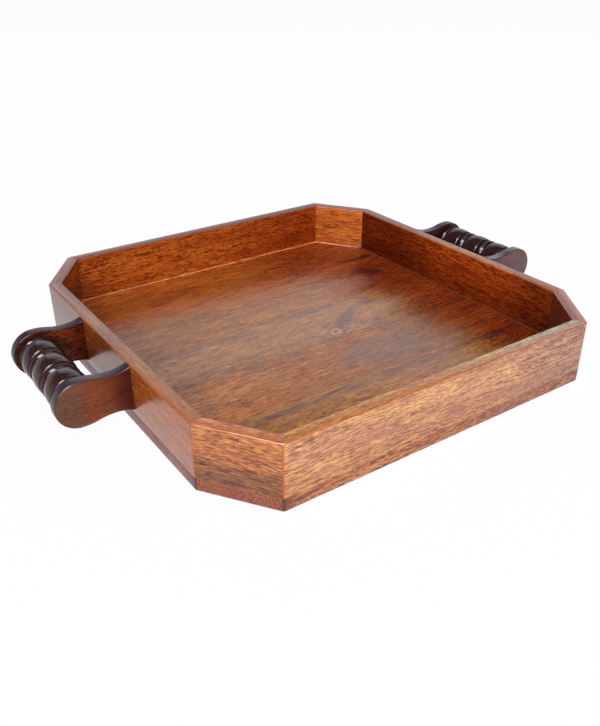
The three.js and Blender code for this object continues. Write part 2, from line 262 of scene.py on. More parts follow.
def smooth(mesh, sharp_angle):
    for face in mesh.polygons:
        face.use_smooth = True
    mesh.set_sharp_from_angle(angle=math.radians(sharp_angle))


def turned_cutter(profile, place, axis, sides=32):
    """A closed turned shape for cutting: profile is (distance along the axis, radius)."""
    turn = axis.to_track_quat("Z", "Y").to_matrix()
    levels = []
    for along, radius in profile:
        ring = []
        for step in range(sides):
            angle = 2 * math.pi * step / sides
            point = Vector((radius * math.cos(angle), radius * math.sin(angle), along))
            ring.append((place + turn @ point, 0))
        levels.append(ring)
    return loft(levels)


def cut(piece, cutters):
    """Takes the cutters out of a piece."""
    together = bmesh.new()
    for cutter in cutters:
        bmesh.ops.recalc_face_normals(cutter, faces=cutter.faces)
        part = bpy.data.meshes.new("cutter_part")
        cutter.to_mesh(part)
        cutter.free()
        together.from_mesh(part)
        bpy.data.meshes.remove(part)
    mesh = bpy.data.meshes.new("cutters")
    together.to_mesh(mesh)
    together.free()
    tool = new_piece("cutters", mesh)
    modifier = piece.modifiers.new("bores", "BOOLEAN")
    modifier.operation = "DIFFERENCE"
    modifier.solver = "EXACT"
    modifier.object = tool
    make_plain(piece)
    bpy.data.objects.remove(tool)
    bpy.data.meshes.remove(mesh)


def make_plain(piece):
    """Turns a piece's evaluated shape into its own mesh and takes its modifiers away."""
    depsgraph = bpy.context.evaluated_depsgraph_get()
    shaped = bpy.data.meshes.new_from_object(
        piece.evaluated_get(depsgraph), preserve_all_data_layers=True, depsgraph=depsgraph
    )
    shaped.name = piece.name
    piece.modifiers.clear()
    piece.data = shaped


def bored_board(node, solid, cutters, material):
    """Makes a board from its solid, bores it and lets it stand for its node."""
    piece = new_piece(f"lacquered_{node}", mesh_from(solid, node))
    cut(piece, cutters)
    finish_piece(piece, material, [node])


def ease_steps(radius, steps):
    """Quarter rounding as (how far along, how far in, wear), from the side to the cap."""
    for step in range(steps + 1):
        angle = QUARTER_TURN * step / steps
        yield radius * math.sin(angle), radius * (1 - math.cos(angle)), math.sin(2 * angle)


def eased_levels(start, end):
    """Levels of a board rounded at both ends, each end (place, rounding, steps), as
    (place, how far in, wear)."""
    place, ease, steps = start
    for along, inwards, wear in reversed(list(ease_steps(ease, steps))):
        yield place + ease - along, inwards, wear
    place, ease, steps = end
    for along, inwards, wear in ease_steps(ease, steps):
        yield place - ease + along, inwards, wear


# Body


def body_sides(body):
    """The eight sides, counter-clockwise, each from its outer corner along its own +X."""
    near_x = HALF_LENGTH - body.corner_reach_x
    near_y = HALF_WIDTH - body.corner_reach_y
    plan = [
        (near_x, -HALF_WIDTH), (HALF_LENGTH, -near_y), (HALF_LENGTH, near_y), (near_x, HALF_WIDTH),
        (-near_x, HALF_WIDTH), (-HALF_LENGTH, near_y), (-HALF_LENGTH, -near_y), (-near_x, -HALF_WIDTH),
    ]
    corners = [Vector((x, y, 0)) for x, y in plan]
    sides = []
    for index, start in enumerate(corners):
        run = corners[(index + 1) % len(corners)] - start
        heading = math.atan2(run.y, run.x)
        place = Matrix.Translation(start) @ Matrix.Rotation(heading, 4, "Z")
        sides.append(
            {"name": SIDES[index], "start": start, "length": run.length, "heading": heading, "place": place}
        )
    for index, side in enumerate(sides):
        turn = side["heading"] - sides[index - 1]["heading"]
        side["start_half_turn"] = (turn % (2 * math.pi)) / 2
        sides[index - 1]["end_half_turn"] = side["start_half_turn"]
    return sides


def board_ring(side, body, inwards, z, wear):
    """One level of a wall board: its plan drawn in, with its outer arrises rounded."""
    radius = body.arris_radius
    inner = WALL_THICKNESS - inwards
    ring = []
    inner_ends = []
    ends = ((-1, 0, side["start_half_turn"]), (1, side["length"], side["end_half_turn"]))
    for sign, end, half_turn in ends:
        shift = end - sign * body.joint_gap / 2 / math.cos(half_turn)
        slope = sign * math.tan(half_turn)
        for step in range(body.curve_steps + 1):
            share = step / body.curve_steps
            if sign < 0:
                share = 1 - share
            angle = -QUARTER_TURN + sign * half_turn * share
            x = shift - radius * slope + (radius - inwards) * math.cos(angle)
            y = radius + (radius - inwards) * math.sin(angle)
            ring.append((x, y, max(wear, share)))
        inner_ends.append((shift - inner * slope, inner, wear))
    ring += reversed(inner_ends)
    return [(side["place"] @ Vector((x, y, z)), amount) for x, y, amount in ring]


def board_solid(side, body):
    foot = (BASE_TOP + body.joint_gap, body.joint_ease, JOINT_STEPS)
    levels = eased_levels(foot, (RIM_TOP, body.rim_ease, body.curve_steps))
    return loft([board_ring(side, body, inwards, z, wear) for z, inwards, wear in levels])


def outline_ring(sides, body, inwards, z, wear):
    """One level of the base: the body's outline drawn in, its corners rounded."""
    ring = []
    for side in sides:
        half_turn = side["start_half_turn"]
        towards = side["heading"] + QUARTER_TURN - half_turn
        reach = body.arris_radius / math.cos(half_turn)
        centre = side["start"] + reach * Vector((math.cos(towards), math.sin(towards), 0))
        for step in range(2 * body.curve_steps + 1):
            share = step / (2 * body.curve_steps)
            angle = side["heading"] - QUARTER_TURN - 2 * half_turn * (1 - share)
            out = (body.arris_radius - inwards) * Vector((math.cos(angle), math.sin(angle), 0))
            ring.append((centre + out + Vector((0, 0, z)), max(wear, math.sin(math.pi * share))))
    return ring


def base_solid(sides, body):
    foot = (0, body.foot_ease, body.curve_steps)
    levels = eased_levels(foot, (BASE_TOP, body.joint_ease, JOINT_STEPS))
    return loft([outline_ring(sides, body, inwards, z, wear) for z, inwards, wear in levels])


def glue_line(board, neighbour, axis):
    """The middle of the glue line between two base boards, the first on the lower side."""
    return (highest(f"base_board_{board}", axis) + lowest(f"base_board_{neighbour}", axis)) / 2


def row_cuts(row):
    """Planes that part one base board from the octagon: (point, normal that is cut away)."""
    front = glue_line("front", "split_left", Y)
    split = glue_line("split_left", "middle", Y)
    back = glue_line("middle", "inner_back", Y)
    last = glue_line("inner_back", "back", Y)
    butt = glue_line("split_left", "split_right", X)
    cuts = {
        "front": [(Y, 1, front)],
        "split_left": [(Y, -1, front), (Y, 1, split), (X, 1, butt)],
        "split_right": [(Y, -1, front), (Y, 1, split), (X, -1, butt)],
        "middle": [(Y, -1, split), (Y, 1, back)],
        "inner_back": [(Y, -1, back), (Y, 1, last)],
        "back": [(Y, -1, last)],
    }
    for axis, sign, place in cuts[row]:
        towards = Vector((0, 0, 0))
        towards[axis] = 1
        yield place * towards, sign * towards


def screw_cutters(fixings):
    """Countersunk bores for the screws, open below."""
    cutters = []
    for node in nodes_like("screw"):
        head = lowest(node, Z)
        neck = head + fixings.screw_head - fixings.screw_radius
        top = highest(node, Z) + fixings.clearance
        head_bore = fixings.screw_head + fixings.clearance
        shank_bore = fixings.screw_radius + fixings.clearance
        centre = middle(node)
        profile = [(-MM, head_bore), (head, head_bore), (neck, shank_bore), (top, shank_bore)]
        cutters.append(turned_cutter(profile, Vector((centre.x, centre.y, 0)), Vector((0, 0, 1))))
    return cutters


def bore(node, axis, radius, clearance):
    """A round bore along an axis, as long as a node and its clearance at both ends."""
    start = middle(node)
    start[axis] = lowest(node, axis) - clearance
    run = highest(node, axis) - lowest(node, axis) + 2 * clearance
    towards = Vector((0, 0, 0))
    towards[axis] = 1
    return turned_cutter([(0, radius + clearance), (run, radius + clearance)], start, towards)


def dowel_cutters(fixings, prefix):
    cutters = []
    for node in nodes_like(prefix):
        radius = (highest(node, Z) - lowest(node, Z)) / 2
        cutters.append(bore(node, X, radius, fixings.clearance))
    return cutters


# Handles


def curve_points(controls, steps):
    """Points on a Bezier curve of any degree, its last point left to what follows."""
    for step in range(steps):
        share = step / steps
        points = [Vector(control) for control in controls]
        while len(points) > 1:
            points = [a.lerp(b, share) for a, b in zip(points, points[1:])]
        yield points[0]


def bracket_outline(handle, reach, round_end, overrun):
    """Half outline from the wall to the round end, mirrored: (away from the wall, up)."""
    waist = handle.waist_reach
    low, high = -handle.wall_half_height, -handle.waist_half_height
    bend = (reach - waist) / 2
    half = [Vector((-overrun, low))]
    half += curve_points([(0, low), (waist / 2, high), (waist, high)], BRACKET_STEPS)
    sweep = [(waist, high), (waist + bend, high), (reach - bend, -round_end), (reach, -round_end)]
    half += curve_points(sweep, BRACKET_STEPS)
    for step in range(BRACKET_STEPS):
        angle = QUARTER_TURN * (step / BRACKET_STEPS - 1)
        half.append(Vector((reach + round_end * math.cos(angle), round_end * math.sin(angle))))
    tip = Vector((reach + round_end, 0))
    return half + [tip] + [Vector((point.x, -point.y)) for point in reversed(half)]


def drawn_in(outline, distance):
    """An outline moved inwards, square to itself at each point."""
    moved = []
    for index, point in enumerate(outline):
        run = outline[(index + 1) % len(outline)] - outline[index - 1]
        run.normalize()
        moved.append(point + distance * Vector((-run.y, run.x)))
    return moved


def bracket_solid(handle, node, side_sign):
    low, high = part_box(node)
    ease = handle.bracket_ease
    round_end = (high.z - low.z) / 2
    reach = max(abs(low.x), abs(high.x)) - round_end - HALF_LENGTH
    outline = bracket_outline(handle, reach, round_end, 4 * ease)
    axis_height = (low.z + high.z) / 2
    levels = []
    for y, inwards, _ in eased_levels((low.y, ease, BRACKET_EASE_STEPS), (high.y, ease, BRACKET_EASE_STEPS)):
        ring = []
        for point in drawn_in(outline, inwards):
            x = side_sign * (HALF_LENGTH + point.x)
            ring.append((Vector((x, y, axis_height + point.y)), 1 - inwards / ease))
        levels.append(ring)
    solid = loft(levels)
    wall_gap = min(abs(low.x), abs(high.x)) - HALF_LENGTH
    gap = min(wall_gap, MM / 10)
    keep_side(solid, Vector((side_sign * (HALF_LENGTH + gap), 0, 0)), Vector((-side_sign, 0, 0)))
    return solid


# Node trees

# How far apart two seeds lie in a noise, and millimetres that reach through any board
SEED_STEPS = (37.3, 11.9, 23.7)
THROUGH = 1000


class Value:
    """A socket of a node tree, so that sums can be written with it as they are."""

    def __init__(self, sketch, socket):
        self.sketch = sketch
        self.socket = socket

    def __add__(self, other):
        return self.sketch.math("ADD", self, other)

    def __sub__(self, other):
        return self.sketch.math("SUBTRACT", self, other)

    def __rsub__(self, other):
        return self.sketch.math("SUBTRACT", other, self)

    def __mul__(self, other):
        return self.sketch.math("MULTIPLY", self, other)

    def __truediv__(self, other):
        return self.sketch.math("DIVIDE", self, other)

    def __abs__(self):
        return self.sketch.math("ABSOLUTE", self)


class Sketch:
    """Adds nodes to a tree and joins them, one call for each node."""

    def __init__(self, tree):
        self.tree = tree

    def node(self, kind, *values, **settings):
        node = self.tree.nodes.new(kind)
        for name, setting in settings.items():
            setattr(node, name, setting)
        for socket, value in zip(node.inputs, values):
            self.feed(socket, value)
        return node

    def feed(self, socket, value):
        if isinstance(value, Value):
            value = value.socket
        if isinstance(value, NodeSocket):
            self.tree.links.new(value, socket)
        elif value is not None:
            socket.default_value = value

    def math(self, operation, *values, clamp=False):
        node = self.node("ShaderNodeMath", *values, operation=operation, use_clamp=clamp)
        return Value(self, node.outputs[0])

    def below(self, a, b, when_below, otherwise):
        test = self.node("FunctionNodeCompare", a, b, data_type="FLOAT", operation="LESS_THAN")
        pick = self.node("GeometryNodeSwitch", test.outputs[0], otherwise, when_below, input_type="FLOAT")
        return Value(self, pick.outputs[0])

    def split(self, vector):
        return [Value(self, part) for part in self.node("ShaderNodeSeparateXYZ", vector).outputs]

    def join(self, x, y, z):
        return self.node("ShaderNodeCombineXYZ", x, y, z).outputs[0]


class Grain(Sketch):
    """A material tree for lacquered wood, drawn in the board's own millimetres."""

    def noise(self, vector, detail, roughness, seed):
        shift = tuple(seed * step for step in SEED_STEPS)
        shifted = self.node("ShaderNodeVectorMath", vector, shift, operation="ADD")
        texture = self.node("ShaderNodeTexNoise")
        self.feed(texture.inputs["Vector"], shifted.outputs[0])
        self.feed(texture.inputs["Scale"], 1)
        self.feed(texture.inputs["Detail"], detail)
        self.feed(texture.inputs["Roughness"], roughness)
        return Value(self, texture.outputs["Fac"])

    def stretched(self, place, lengths, detail, roughness, seed):
        """Noise whose grains have the given lengths along the three parts of a place."""
        scaled = self.join(*(part / reach for part, reach in zip(place, lengths)))
        return self.noise(scaled, detail, roughness, seed)

    def ramp(self, value, low, high, start=0, end=1):
        """Eases from start to end while value goes from low to high."""
        node = self.node("ShaderNodeMapRange", value, low, high, start, end, interpolation_type="SMOOTHSTEP")
        return Value(self, node.outputs[0])

    def blend(self, amount, under, over, mode="MIX"):
        node = self.node("ShaderNodeMix", data_type="RGBA", blend_type=mode)
        self.feed(node.inputs[0], amount)
        for socket, value in zip(node.inputs[6:8], (under, over)):
            if not isinstance(value, NodeSocket):
                value = (*value, 1)
            self.feed(socket, value)
        return node.outputs[2]

    def ladder(self, value, tones):
        """A colour ramp with its tones evenly spaced."""
        node = self.node("ShaderNodeValToRGB", value)
        stops = node.color_ramp.elements
        while len(stops) < len(tones):
            stops.new(0.5)
        for index, (stop, colour) in enumerate(zip(stops, tones)):
            stop.position = index / (len(tones) - 1)
            stop.color = (*colour, 1)
        return node.outputs[0]

    def mapped(self, vector, place, turn, scale):
        """A vector seen from axes that stand at a place, are turned and have a unit's length."""
        mapping = self.node("ShaderNodeMapping", vector_type="TEXTURE")
        for label, value in zip(("Vector", "Location", "Rotation", "Scale"), (vector, place, turn, scale)):
            self.feed(mapping.inputs[label], value)
        return mapping.outputs[0]

    def spot(self, board_place, place, size, turn):
        """1 in the middle of an oval on the board's face, fading to 0 outside it."""
        oval = self.mapped(board_place, (*place, 0), (0, 0, turn), (*size, THROUGH))
        distance = self.node("ShaderNodeVectorMath", oval, operation="LENGTH")
        squared = self.math("POWER", distance.outputs["Value"], 2)
        return self.math("EXPONENT", squared * -1)

    def principled(self, colour, roughness, **settings):
        """Ends the tree in a shader, its plain settings written with _ for spaces."""
        shader = self.node("ShaderNodeBsdfPrincipled")
        self.feed(shader.inputs["Base Color"], colour)
        self.feed(shader.inputs["Roughness"], roughness)
        for label, setting in settings.items():
            shader.inputs[label.replace("_", " ")].default_value = setting
        self.node("ShaderNodeOutputMaterial", shader.outputs[0])
        return shader


def new_material(name):
    material = bpy.data.materials.new(name)
    material.use_nodes = True
    material.node_tree.nodes.clear()
    return material


# Wood

# What the grain makes of a board's middle tone: shares of its red, green and blue, from
# the darkest wood to the lightest
TONE_SHARES = ((0.38, 0.28, 0.32), (0.82, 0.74, 0.72), (1.12, 1.2, 1.08), (1.5, 1.85, 1.5))
FLECK_SHARES = (1.4, 1.9, 1.3)
STREAK_SHARES = (0.36, 0.3, 0.5)
BAND_FADE = 30


def tinted(colour, shares):
    return tuple(part * share for part, share in zip(colour, shares))


def wood_tones(middle_tone, drift, drift_share=0.3, streak=STREAK_SHARES):
    """Tones of one board, from its middle one and the one it drifts to, as display values."""
    colour = linear_colour(*middle_tone)
    return {
        "ladder": [tinted(colour, shares) for shares in TONE_SHARES],
        "streaks": tinted(colour, streak),
        "flecks": tinted(colour, FLECK_SHARES),
        "drift": linear_colour(*drift),
        "drift_share": drift_share,
    }


def plain_wood(tones, seed, **changes):
    """How the grain of a board is drawn. Lengths are millimetres, the rest are shares."""
    grain = {
        "tones": tones,
        "seed": seed,
        "pith": (15, -60),
        "lean": 0.02,
        "ring": 9,
        "wobble": 5,
        "coarseness": 1,
        "rings": 0.6,
        "fibres": 1.9,
        "dashes": 1.7,
        "mottle": 0.4,
        "relief": 1,
        "streaks": 0.5,
        "flecks": 0.3,
        "pores": 0.35,
        "knots": [],
        "bands": [],
        "marks": [],
        "tints": [],
        "sheen": 0.5,
        "roughness": 0.22,
        "wear_tone": (172, 86, 36),
        "wear": 0.7,
    }
    grain.update(changes)
    return grain


def band(across, half_width, share, tone, along=None, skin=None):
    """A darker or lighter band along a board, over its whole length or part of it, and
    through its whole thickness or only as deep as its skin."""
    return {
        "across": across, "half_width": half_width, "share": share,
        "tone": linear_colour(*tone), "along": along, "skin": skin,
    }


def mark(place, size, share, tone, turn=0, **flow):
    """An oval mark on a board's face. A knot also says how the grain flows round it."""
    return {
        "place": place, "size": size, "share": share, "tone": linear_colour(*tone), "turn": turn, **flow
    }


def tint(shares, axis, start, end, within=None):
    """A change of a board's tone from start to end along one of its axes: most uses paint light or shade, a
    few give the board's own tone.
    """
    return {"shares": shares, "axis": axis, "start": start, "end": end, "within": within}


def wood_material(name, place, turn, grain):
    """Lacquered wood. Turn puts the board's own axes, along, across and out, in the frame."""
    material = new_material(name)
    sketch = Grain(material.node_tree)
    seed = grain["seed"]
    tones = grain["tones"]
    object_place = sketch.node("ShaderNodeTexCoord").outputs["Object"]
    board_place = sketch.mapped(object_place, place, turn, (MM, MM, MM))
    board = sketch.split(board_place)
    along, across, out = board

    drift = sketch.stretched(board, (95, 30, 30), 1, 0.5, seed) - 0.5
    ripple = sketch.stretched(board, (28, 9, 9), 2, 0.5, seed + 1) - 0.5
    sway = drift * (4 * grain["wobble"]) + ripple * (grain["wobble"] / 2)
    pith_across, pith_out = grain["pith"]
    aside = across - pith_across + sway
    depth = out - pith_out + along * grain["lean"]
    radius = sketch.math("SQRT", aside * aside + depth * depth)
    line = across + sway * 0.6
    for knot in grain["knots"]:
        swell = sketch.spot(board_place, knot["place"], knot["reach"], knot["turn"])
        radius = radius + swell * knot["swell"]
        flow = sketch.spot(board_place, knot["place"], knot["flow"], knot["turn"])
        line = line - flow * (across - knot["place"][1]) * knot["spread"]

    lined = (along, line, out)
    width = 0.95 * grain["coarseness"]
    rings = sketch.stretched((radius, along, 0), (grain["ring"], 900, 1), 3, 0.62, seed + 2)
    fibres = sketch.stretched(lined, (20, width, width), 3, 0.6, seed + 3)
    dashes = sketch.stretched(lined, (5, width, width), 2, 0.5, seed + 4)
    mottle = sketch.stretched(lined, (30, 7, 9), 3, 0.55, seed + 5)
    value = (rings - 0.5) * (2 * grain["rings"]) + 0.5
    for pattern, label in ((fibres, "fibres"), (dashes, "dashes"), (mottle, "mottle")):
        value = value + (pattern - 0.5) * (2 * grain[label])
    colour = sketch.ladder(value, tones["ladder"])

    haze = sketch.ramp(sketch.stretched(lined, (90, 16, 30), 2, 0.5, seed + 6), 0.42, 0.68)
    colour = sketch.blend(haze * tones["drift_share"], colour, tones["drift"])
    thin_lines = (("streaks", (110, 2.4, 4), 3, 0.6, 7), ("flecks", (7, 0.9, 1.2), 2, 0.5, 8))
    for label, lengths, detail, roughness, step in thin_lines:
        pattern = sketch.ramp(sketch.stretched(lined, lengths, detail, roughness, seed + step), 0.56, 0.72)
        colour = sketch.blend(pattern * grain[label], colour, tones[label])

    for stripe in grain["bands"]:
        distance = abs((across - stripe["across"] + sway * 0.25) / stripe["half_width"])
        inside = sketch.ramp(distance, 0.5, 1.2, stripe["share"], 0)
        amount = inside * sketch.ramp(fibres, 0.3, 0.62, 1, 0.35)
        if stripe["along"]:
            start, end = stripe["along"]
            amount = amount * sketch.ramp(along, start - BAND_FADE, start + BAND_FADE)
            amount = amount * sketch.ramp(along, end - BAND_FADE, end + BAND_FADE, 1, 0)
        if stripe["skin"]:
            amount = amount * sketch.ramp(out, -stripe["skin"], -stripe["skin"] / 5)
        colour = sketch.blend(amount, colour, stripe["tone"])
    for stain in grain["marks"] + grain["knots"]:
        fade = sketch.spot(board_place, stain["place"], stain["size"], stain["turn"])
        colour = sketch.blend(sketch.ramp(fade, 0.25, 0.75, 0, stain["share"]), colour, stain["tone"])
    # Tints, most of them painted light or shade
    for change in grain["tints"]:
        amount = sketch.ramp(board[change["axis"]], change["start"], change["end"])
        if change["within"]:
            axis, start, end = change["within"]
            amount = amount * sketch.ramp(board[axis], start, end)
        colour = sketch.blend(amount, colour, change["shares"], "MULTIPLY")

    pores = sketch.ramp(sketch.stretched(lined, (5, 0.4, 0.4), 1, 0.5, seed + 9), 0.6, 0.7)
    darker = sketch.blend(0.6, colour, tones["streaks"])
    colour = sketch.blend(pores * grain["pores"], colour, darker)
    # Rounded edges and grooves take their edge tone, which on the base's lower edge and in the spindles'
    # grooves is painted shade.
    wear = Value(sketch, sketch.node("ShaderNodeAttribute", attribute_name="wear").outputs["Fac"])
    worn_and_shaded = sketch.ramp(wear, 0.1, 0.9) * grain["wear"]
    colour = sketch.blend(worn_and_shaded, colour, linear_colour(*grain["wear_tone"]))

    gloss = fibres * 0.08 + (grain["roughness"] - 0.04)
    shader = sketch.principled(colour, gloss, IOR=1.5, Specular_IOR_Level=grain["sheen"])
    bump = sketch.node("ShaderNodeBump")
    sketch.feed(bump.inputs["Height"], fibres * 0.5 - pores * 0.6)
    bump.inputs["Strength"].default_value = 0.35
    bump.inputs["Distance"].default_value = 0.05 * MM * grain["relief"]
    sketch.feed(shader.inputs["Normal"], bump.outputs[0])
    return material


# The base boards, drawn from the middle of the base's top. Their right ends are painted redder and darker, a
# painted reflection of the right wall, and their left ends are painted lighter, painted light where the left
# wall shades the floor. The sawn edge is lighter than the top, and the left end face is darker and purpler.

ONLY_TOP = (Z, -0.5, -0.1)
BASE_EDGE = tint((0.9, 0.66, 0.85), Z, -0.2, -0.6)
FRONT_EDGE = tint((1.0, 0.92, 2.8), Z, -0.2, -0.6)
LEFT_EDGE = tint((0.5, 0.3, 0.55), X, -188.5, -189.7)
# Painted light on the top near the left end
PAINTED_LIGHT_LEFT_END = tint((1.34, 1.3, 1.06), X, -60, -130, ONLY_TOP)
BUTT_JOINT_HAZE = mark((34, -72), (52, 28), 0.48, (100, 92, 80))


def base_wood(tones, seed, **changes):
    """A base board's grain: its rounded edges are painted dark, which along the tray's lower edge is a
    painted contact shadow.
    """
    common = {
        "fibres": 2.3,
        "dashes": 2.1,
        "streaks": 0.65,
        "pores": 0.65,
        # Painted contact shadow on the rounded edges along the tray's lower edge
        "wear_tone": (44, 28, 34),
        "sheen": 0.38,
        "roughness": 0.27,
    }
    return plain_wood(tones, seed, **(common | changes))


BASE_WOOD = {
    "front": base_wood(
        wood_tones((164, 103, 37), (128, 86, 48)),
        seed=3,
        pith=(-60, -70),
        sheen=0.42,
        # The first tint is a painted reflection of the right wall towards the right end, the last is painted
        # light near the left end
        tints=[tint((0.52, 0.17, 0.09), X, 96, 156, ONLY_TOP), FRONT_EDGE, LEFT_EDGE, PAINTED_LIGHT_LEFT_END],
        bands=[band(-107, 5, 0.85, (50, 38, 46), skin=0.5)],
        marks=[mark((-171, -168.5), (60, 14), 0.6, (113, 45, 14), -0.966)],
    ),
    "split_left": base_wood(
        wood_tones((160, 93, 33), (148, 82, 38)),
        seed=11,
        pith=(-110, -90),
        lean=-0.04,
        # The last tint is painted light near the left end
        tints=[BASE_EDGE, LEFT_EDGE, PAINTED_LIGHT_LEFT_END],
        marks=[BUTT_JOINT_HAZE],
    ),
    "split_right": base_wood(
        wood_tones((148, 89, 32), (126, 83, 48)),
        seed=19,
        pith=(-30, -60),
        streaks=0.7,
        # Painted reflection of the right wall towards the right end
        tints=[tint((0.88, 0.36, 0.16), X, 96, 158, ONLY_TOP)],
        marks=[BUTT_JOINT_HAZE],
        bands=[
            band(-36, 1.8, 0.75, (46, 34, 36), skin=0.5),
            band(-82, 4, 0.6, (60, 46, 56), (80, 185), 0.5),
        ],
    ),
    "middle": base_wood(
        wood_tones((160, 102, 37), (134, 90, 50)),
        seed=27,
        pith=(60, -60),
        wobble=7,
        sheen=0.46,
        # The first tint is a painted reflection of the right wall towards the right end
        tints=[tint((0.68, 0.25, 0.12), X, 84, 150, ONLY_TOP), BASE_EDGE, LEFT_EDGE],
        knots=[
            mark(
                (24, -19), (3.2, 2.0), 1, (30, 14, 8), 0.5,
                reach=(22, 12), swell=26, flow=(34, 14), spread=0.85,
            ),
        ],
        marks=[
            mark((25, -19), (15, 9), 0.5, (84, 56, 48), 0.5),
            mark((24, -19), (9, 5.5), 0.85, (196, 146, 80), 0.5),
            mark((48, -2), (28, 8), 0.5, (62, 44, 54), 0.6),
            mark((30, 29), (44, 3.5), 0.55, (84, 60, 66)),
            mark((88, 15), (13, 5), 0.5, (76, 54, 64)),
            mark((66, -9), (11, 6), 0.5, (190, 108, 62), -0.4),
        ],
        bands=[
            band(-30.5, 2.2, 0.8, (44, 30, 30), skin=0.5),
            band(25, 3.5, 0.7, (58, 48, 54), (-175, -40), 0.5),
        ],
    ),
    "inner_back": base_wood(
        wood_tones((156, 94, 32), (140, 84, 42)),
        seed=35,
        pith=(30, -80),
        sheen=0.36,
        # The first tint is a painted reflection of the right wall towards the right end
        tints=[tint((0.66, 0.23, 0.12), X, 66, 138, ONLY_TOP), BASE_EDGE, LEFT_EDGE],
        bands=[
            band(34, 1.4, 0.5, (170, 98, 44), (-180, 10)),
            band(90, 11, 0.45, (206, 116, 66), (-40, 70), 0.5),
        ],
        marks=[mark((140, 77), (22, 13), 0.65, (62, 18, 8), -0.7)],
    ),
    "back": base_wood(
        wood_tones((168, 86, 26), (150, 68, 24)),
        seed=43,
        pith=(146, 22),
        lean=-0.16,
        ring=7,
        rings=0.8,
        # The first tint is a painted reflection of the right wall towards the right end
        tints=[tint((0.8, 0.52, 0.38), X, 20, 90), BASE_EDGE, LEFT_EDGE],
        marks=[
            mark((65, 143.5), (10, 1.6), 1, (22, 6, 6)),
            mark((152, 114), (28, 5), 0.85, (34, 8, 6)),
        ],
    ),
}

# The walls and corner boards, drawn from their middle with their rim up. Their tints paint light and shade:
# faces darker where less light falls, and each rim partly its own tone and partly painted reflection and
# shade, board by board.

HALF_HEIGHT = (RIM_TOP - BASE_TOP) / MM / 2
ONLY_RIM = (Y, HALF_HEIGHT - 0.9, HALF_HEIGHT - 0.3)


# A tint of the rim alone: partly the rim's own tone, partly painted reflection and shade.
def rim(red, green, blue):
    return tint((red, green, blue), *ONLY_RIM)


SIDE_WOOD = {
    "wall_front": plain_wood(
        wood_tones((200, 140, 94), (182, 118, 96), 0.4, streak=(0.46, 0.4, 0.6)),
        seed=51,
        pith=(-20, -90),
        lean=0.05,
        rings=0.35,
        mottle=0.2,
        fibres=1.6,
        dashes=1.3,
        flecks=0.45,
        # Painted shade towards the right end and the bottom, and a painted reflection that pales the rim
        # towards its right end
        tints=[
            tint((0.8, 0.84, 1.1), X, 20, 140),
            tint((0.86, 0.78, 0.68), Y, 6, -16),
            rim(0.85, 0.7, 0.2),
            tint((0.78, 2.1, 7.5), X, -40, 150, ONLY_RIM),
        ],
    ),
    "wall_back": plain_wood(
        wood_tones((161, 77, 24), (137, 56, 16), 0.5),
        seed=59,
        pith=(-70, -60),
        lean=0.1,
        fibres=2.0,
        dashes=2.0,
        flecks=0.5,
        sheen=0.2,
        # Painted shade towards the right end, and the rim darkened as painted shade
        tints=[tint((0.7, 0.48, 0.38), X, 20, -130), rim(0.14, 0.1, 0.08)],
    ),
    "wall_left": plain_wood(
        wood_tones((143, 76, 28), (140, 66, 36)),
        seed=67,
        pith=(40, -80),
        rings=0.35,
        mottle=0.2,
        fibres=1.0,
        dashes=0.8,
        streaks=0.3,
        # Painted shade and a bluish painted reflection towards the back end, painted light towards the front
        # end, painted shade towards the bottom, and a rim bluer towards the back as painted reflection
        tints=[
            tint((0.42, 0.38, 1.2), X, -40, -110),
            tint((1.15, 1.1, 1.0), X, 50, 80),
            tint((0.85, 0.75, 0.7), Y, 4, -16),
            rim(1.05, 1.5, 0.9),
            tint((0.5, 0.6, 1.2), X, -40, -130, ONLY_RIM),
        ],
        # Painted shade on the face between the brackets
        marks=[mark((-6, -6), (52, 44), 0.4, (72, 30, 16))],
    ),
    "wall_right": plain_wood(
        wood_tones((147, 58, 9), (114, 38, 5), 0.5),
        seed=75,
        pith=(-50, 60),
        lean=0.06,
        fibres=2.0,
        dashes=2.0,
        streaks=0.7,
        sheen=0.26,
        # Painted shade towards both ends and towards the bottom, and a bluish rim as painted reflection
        tints=[
            tint((0.52, 0.4, 0.45), X, 0, 70),
            tint((0.62, 0.58, 0.8), X, -60, -120),
            tint((0.6, 0.56, 0.6), Y, 14, -14),
            rim(1.0, 2.7, 5.0),
        ],
    ),
    "corner_front_left": plain_wood(
        wood_tones((168, 102, 55), (146, 72, 43), 0.4),
        seed=83,
        pith=(60, -30),
        wobble=8,
        # Painted shade towards the bottom, and a rim tint that is partly painted reflection
        tints=[tint((0.66, 0.6, 0.5), Y, 2, -8), rim(1.25, 1.15, 0.65)],
        bands=[band(-14, 9, 0.55, (78, 46, 36))],
    ),
    "corner_front_right": plain_wood(
        wood_tones((150, 72, 28), (120, 50, 22)),
        seed=91,
        # Painted shade on the inner face, and a rim tint that is partly painted reflection
        tints=[tint((0.4, 0.25, 0.2), Z, 3, -5), rim(1.3, 1.5, 1.0)],
    ),
    "corner_back_left": plain_wood(
        # The rim tint is partly painted shade
        wood_tones((130, 58, 20), (100, 38, 14)), seed=99, sheen=0.3, tints=[rim(0.8, 1.0, 1.0)]
    ),
    "corner_back_right": plain_wood(
        wood_tones((181, 95, 32), (160, 75, 26)),
        seed=107,
        pith=(-40, -60),
        flecks=0.1,
        dashes=1.2,
        sheen=0.3,
        # The rim darkened as painted shade
        tints=[rim(0.14, 0.14, 0.2)],
    ),
}


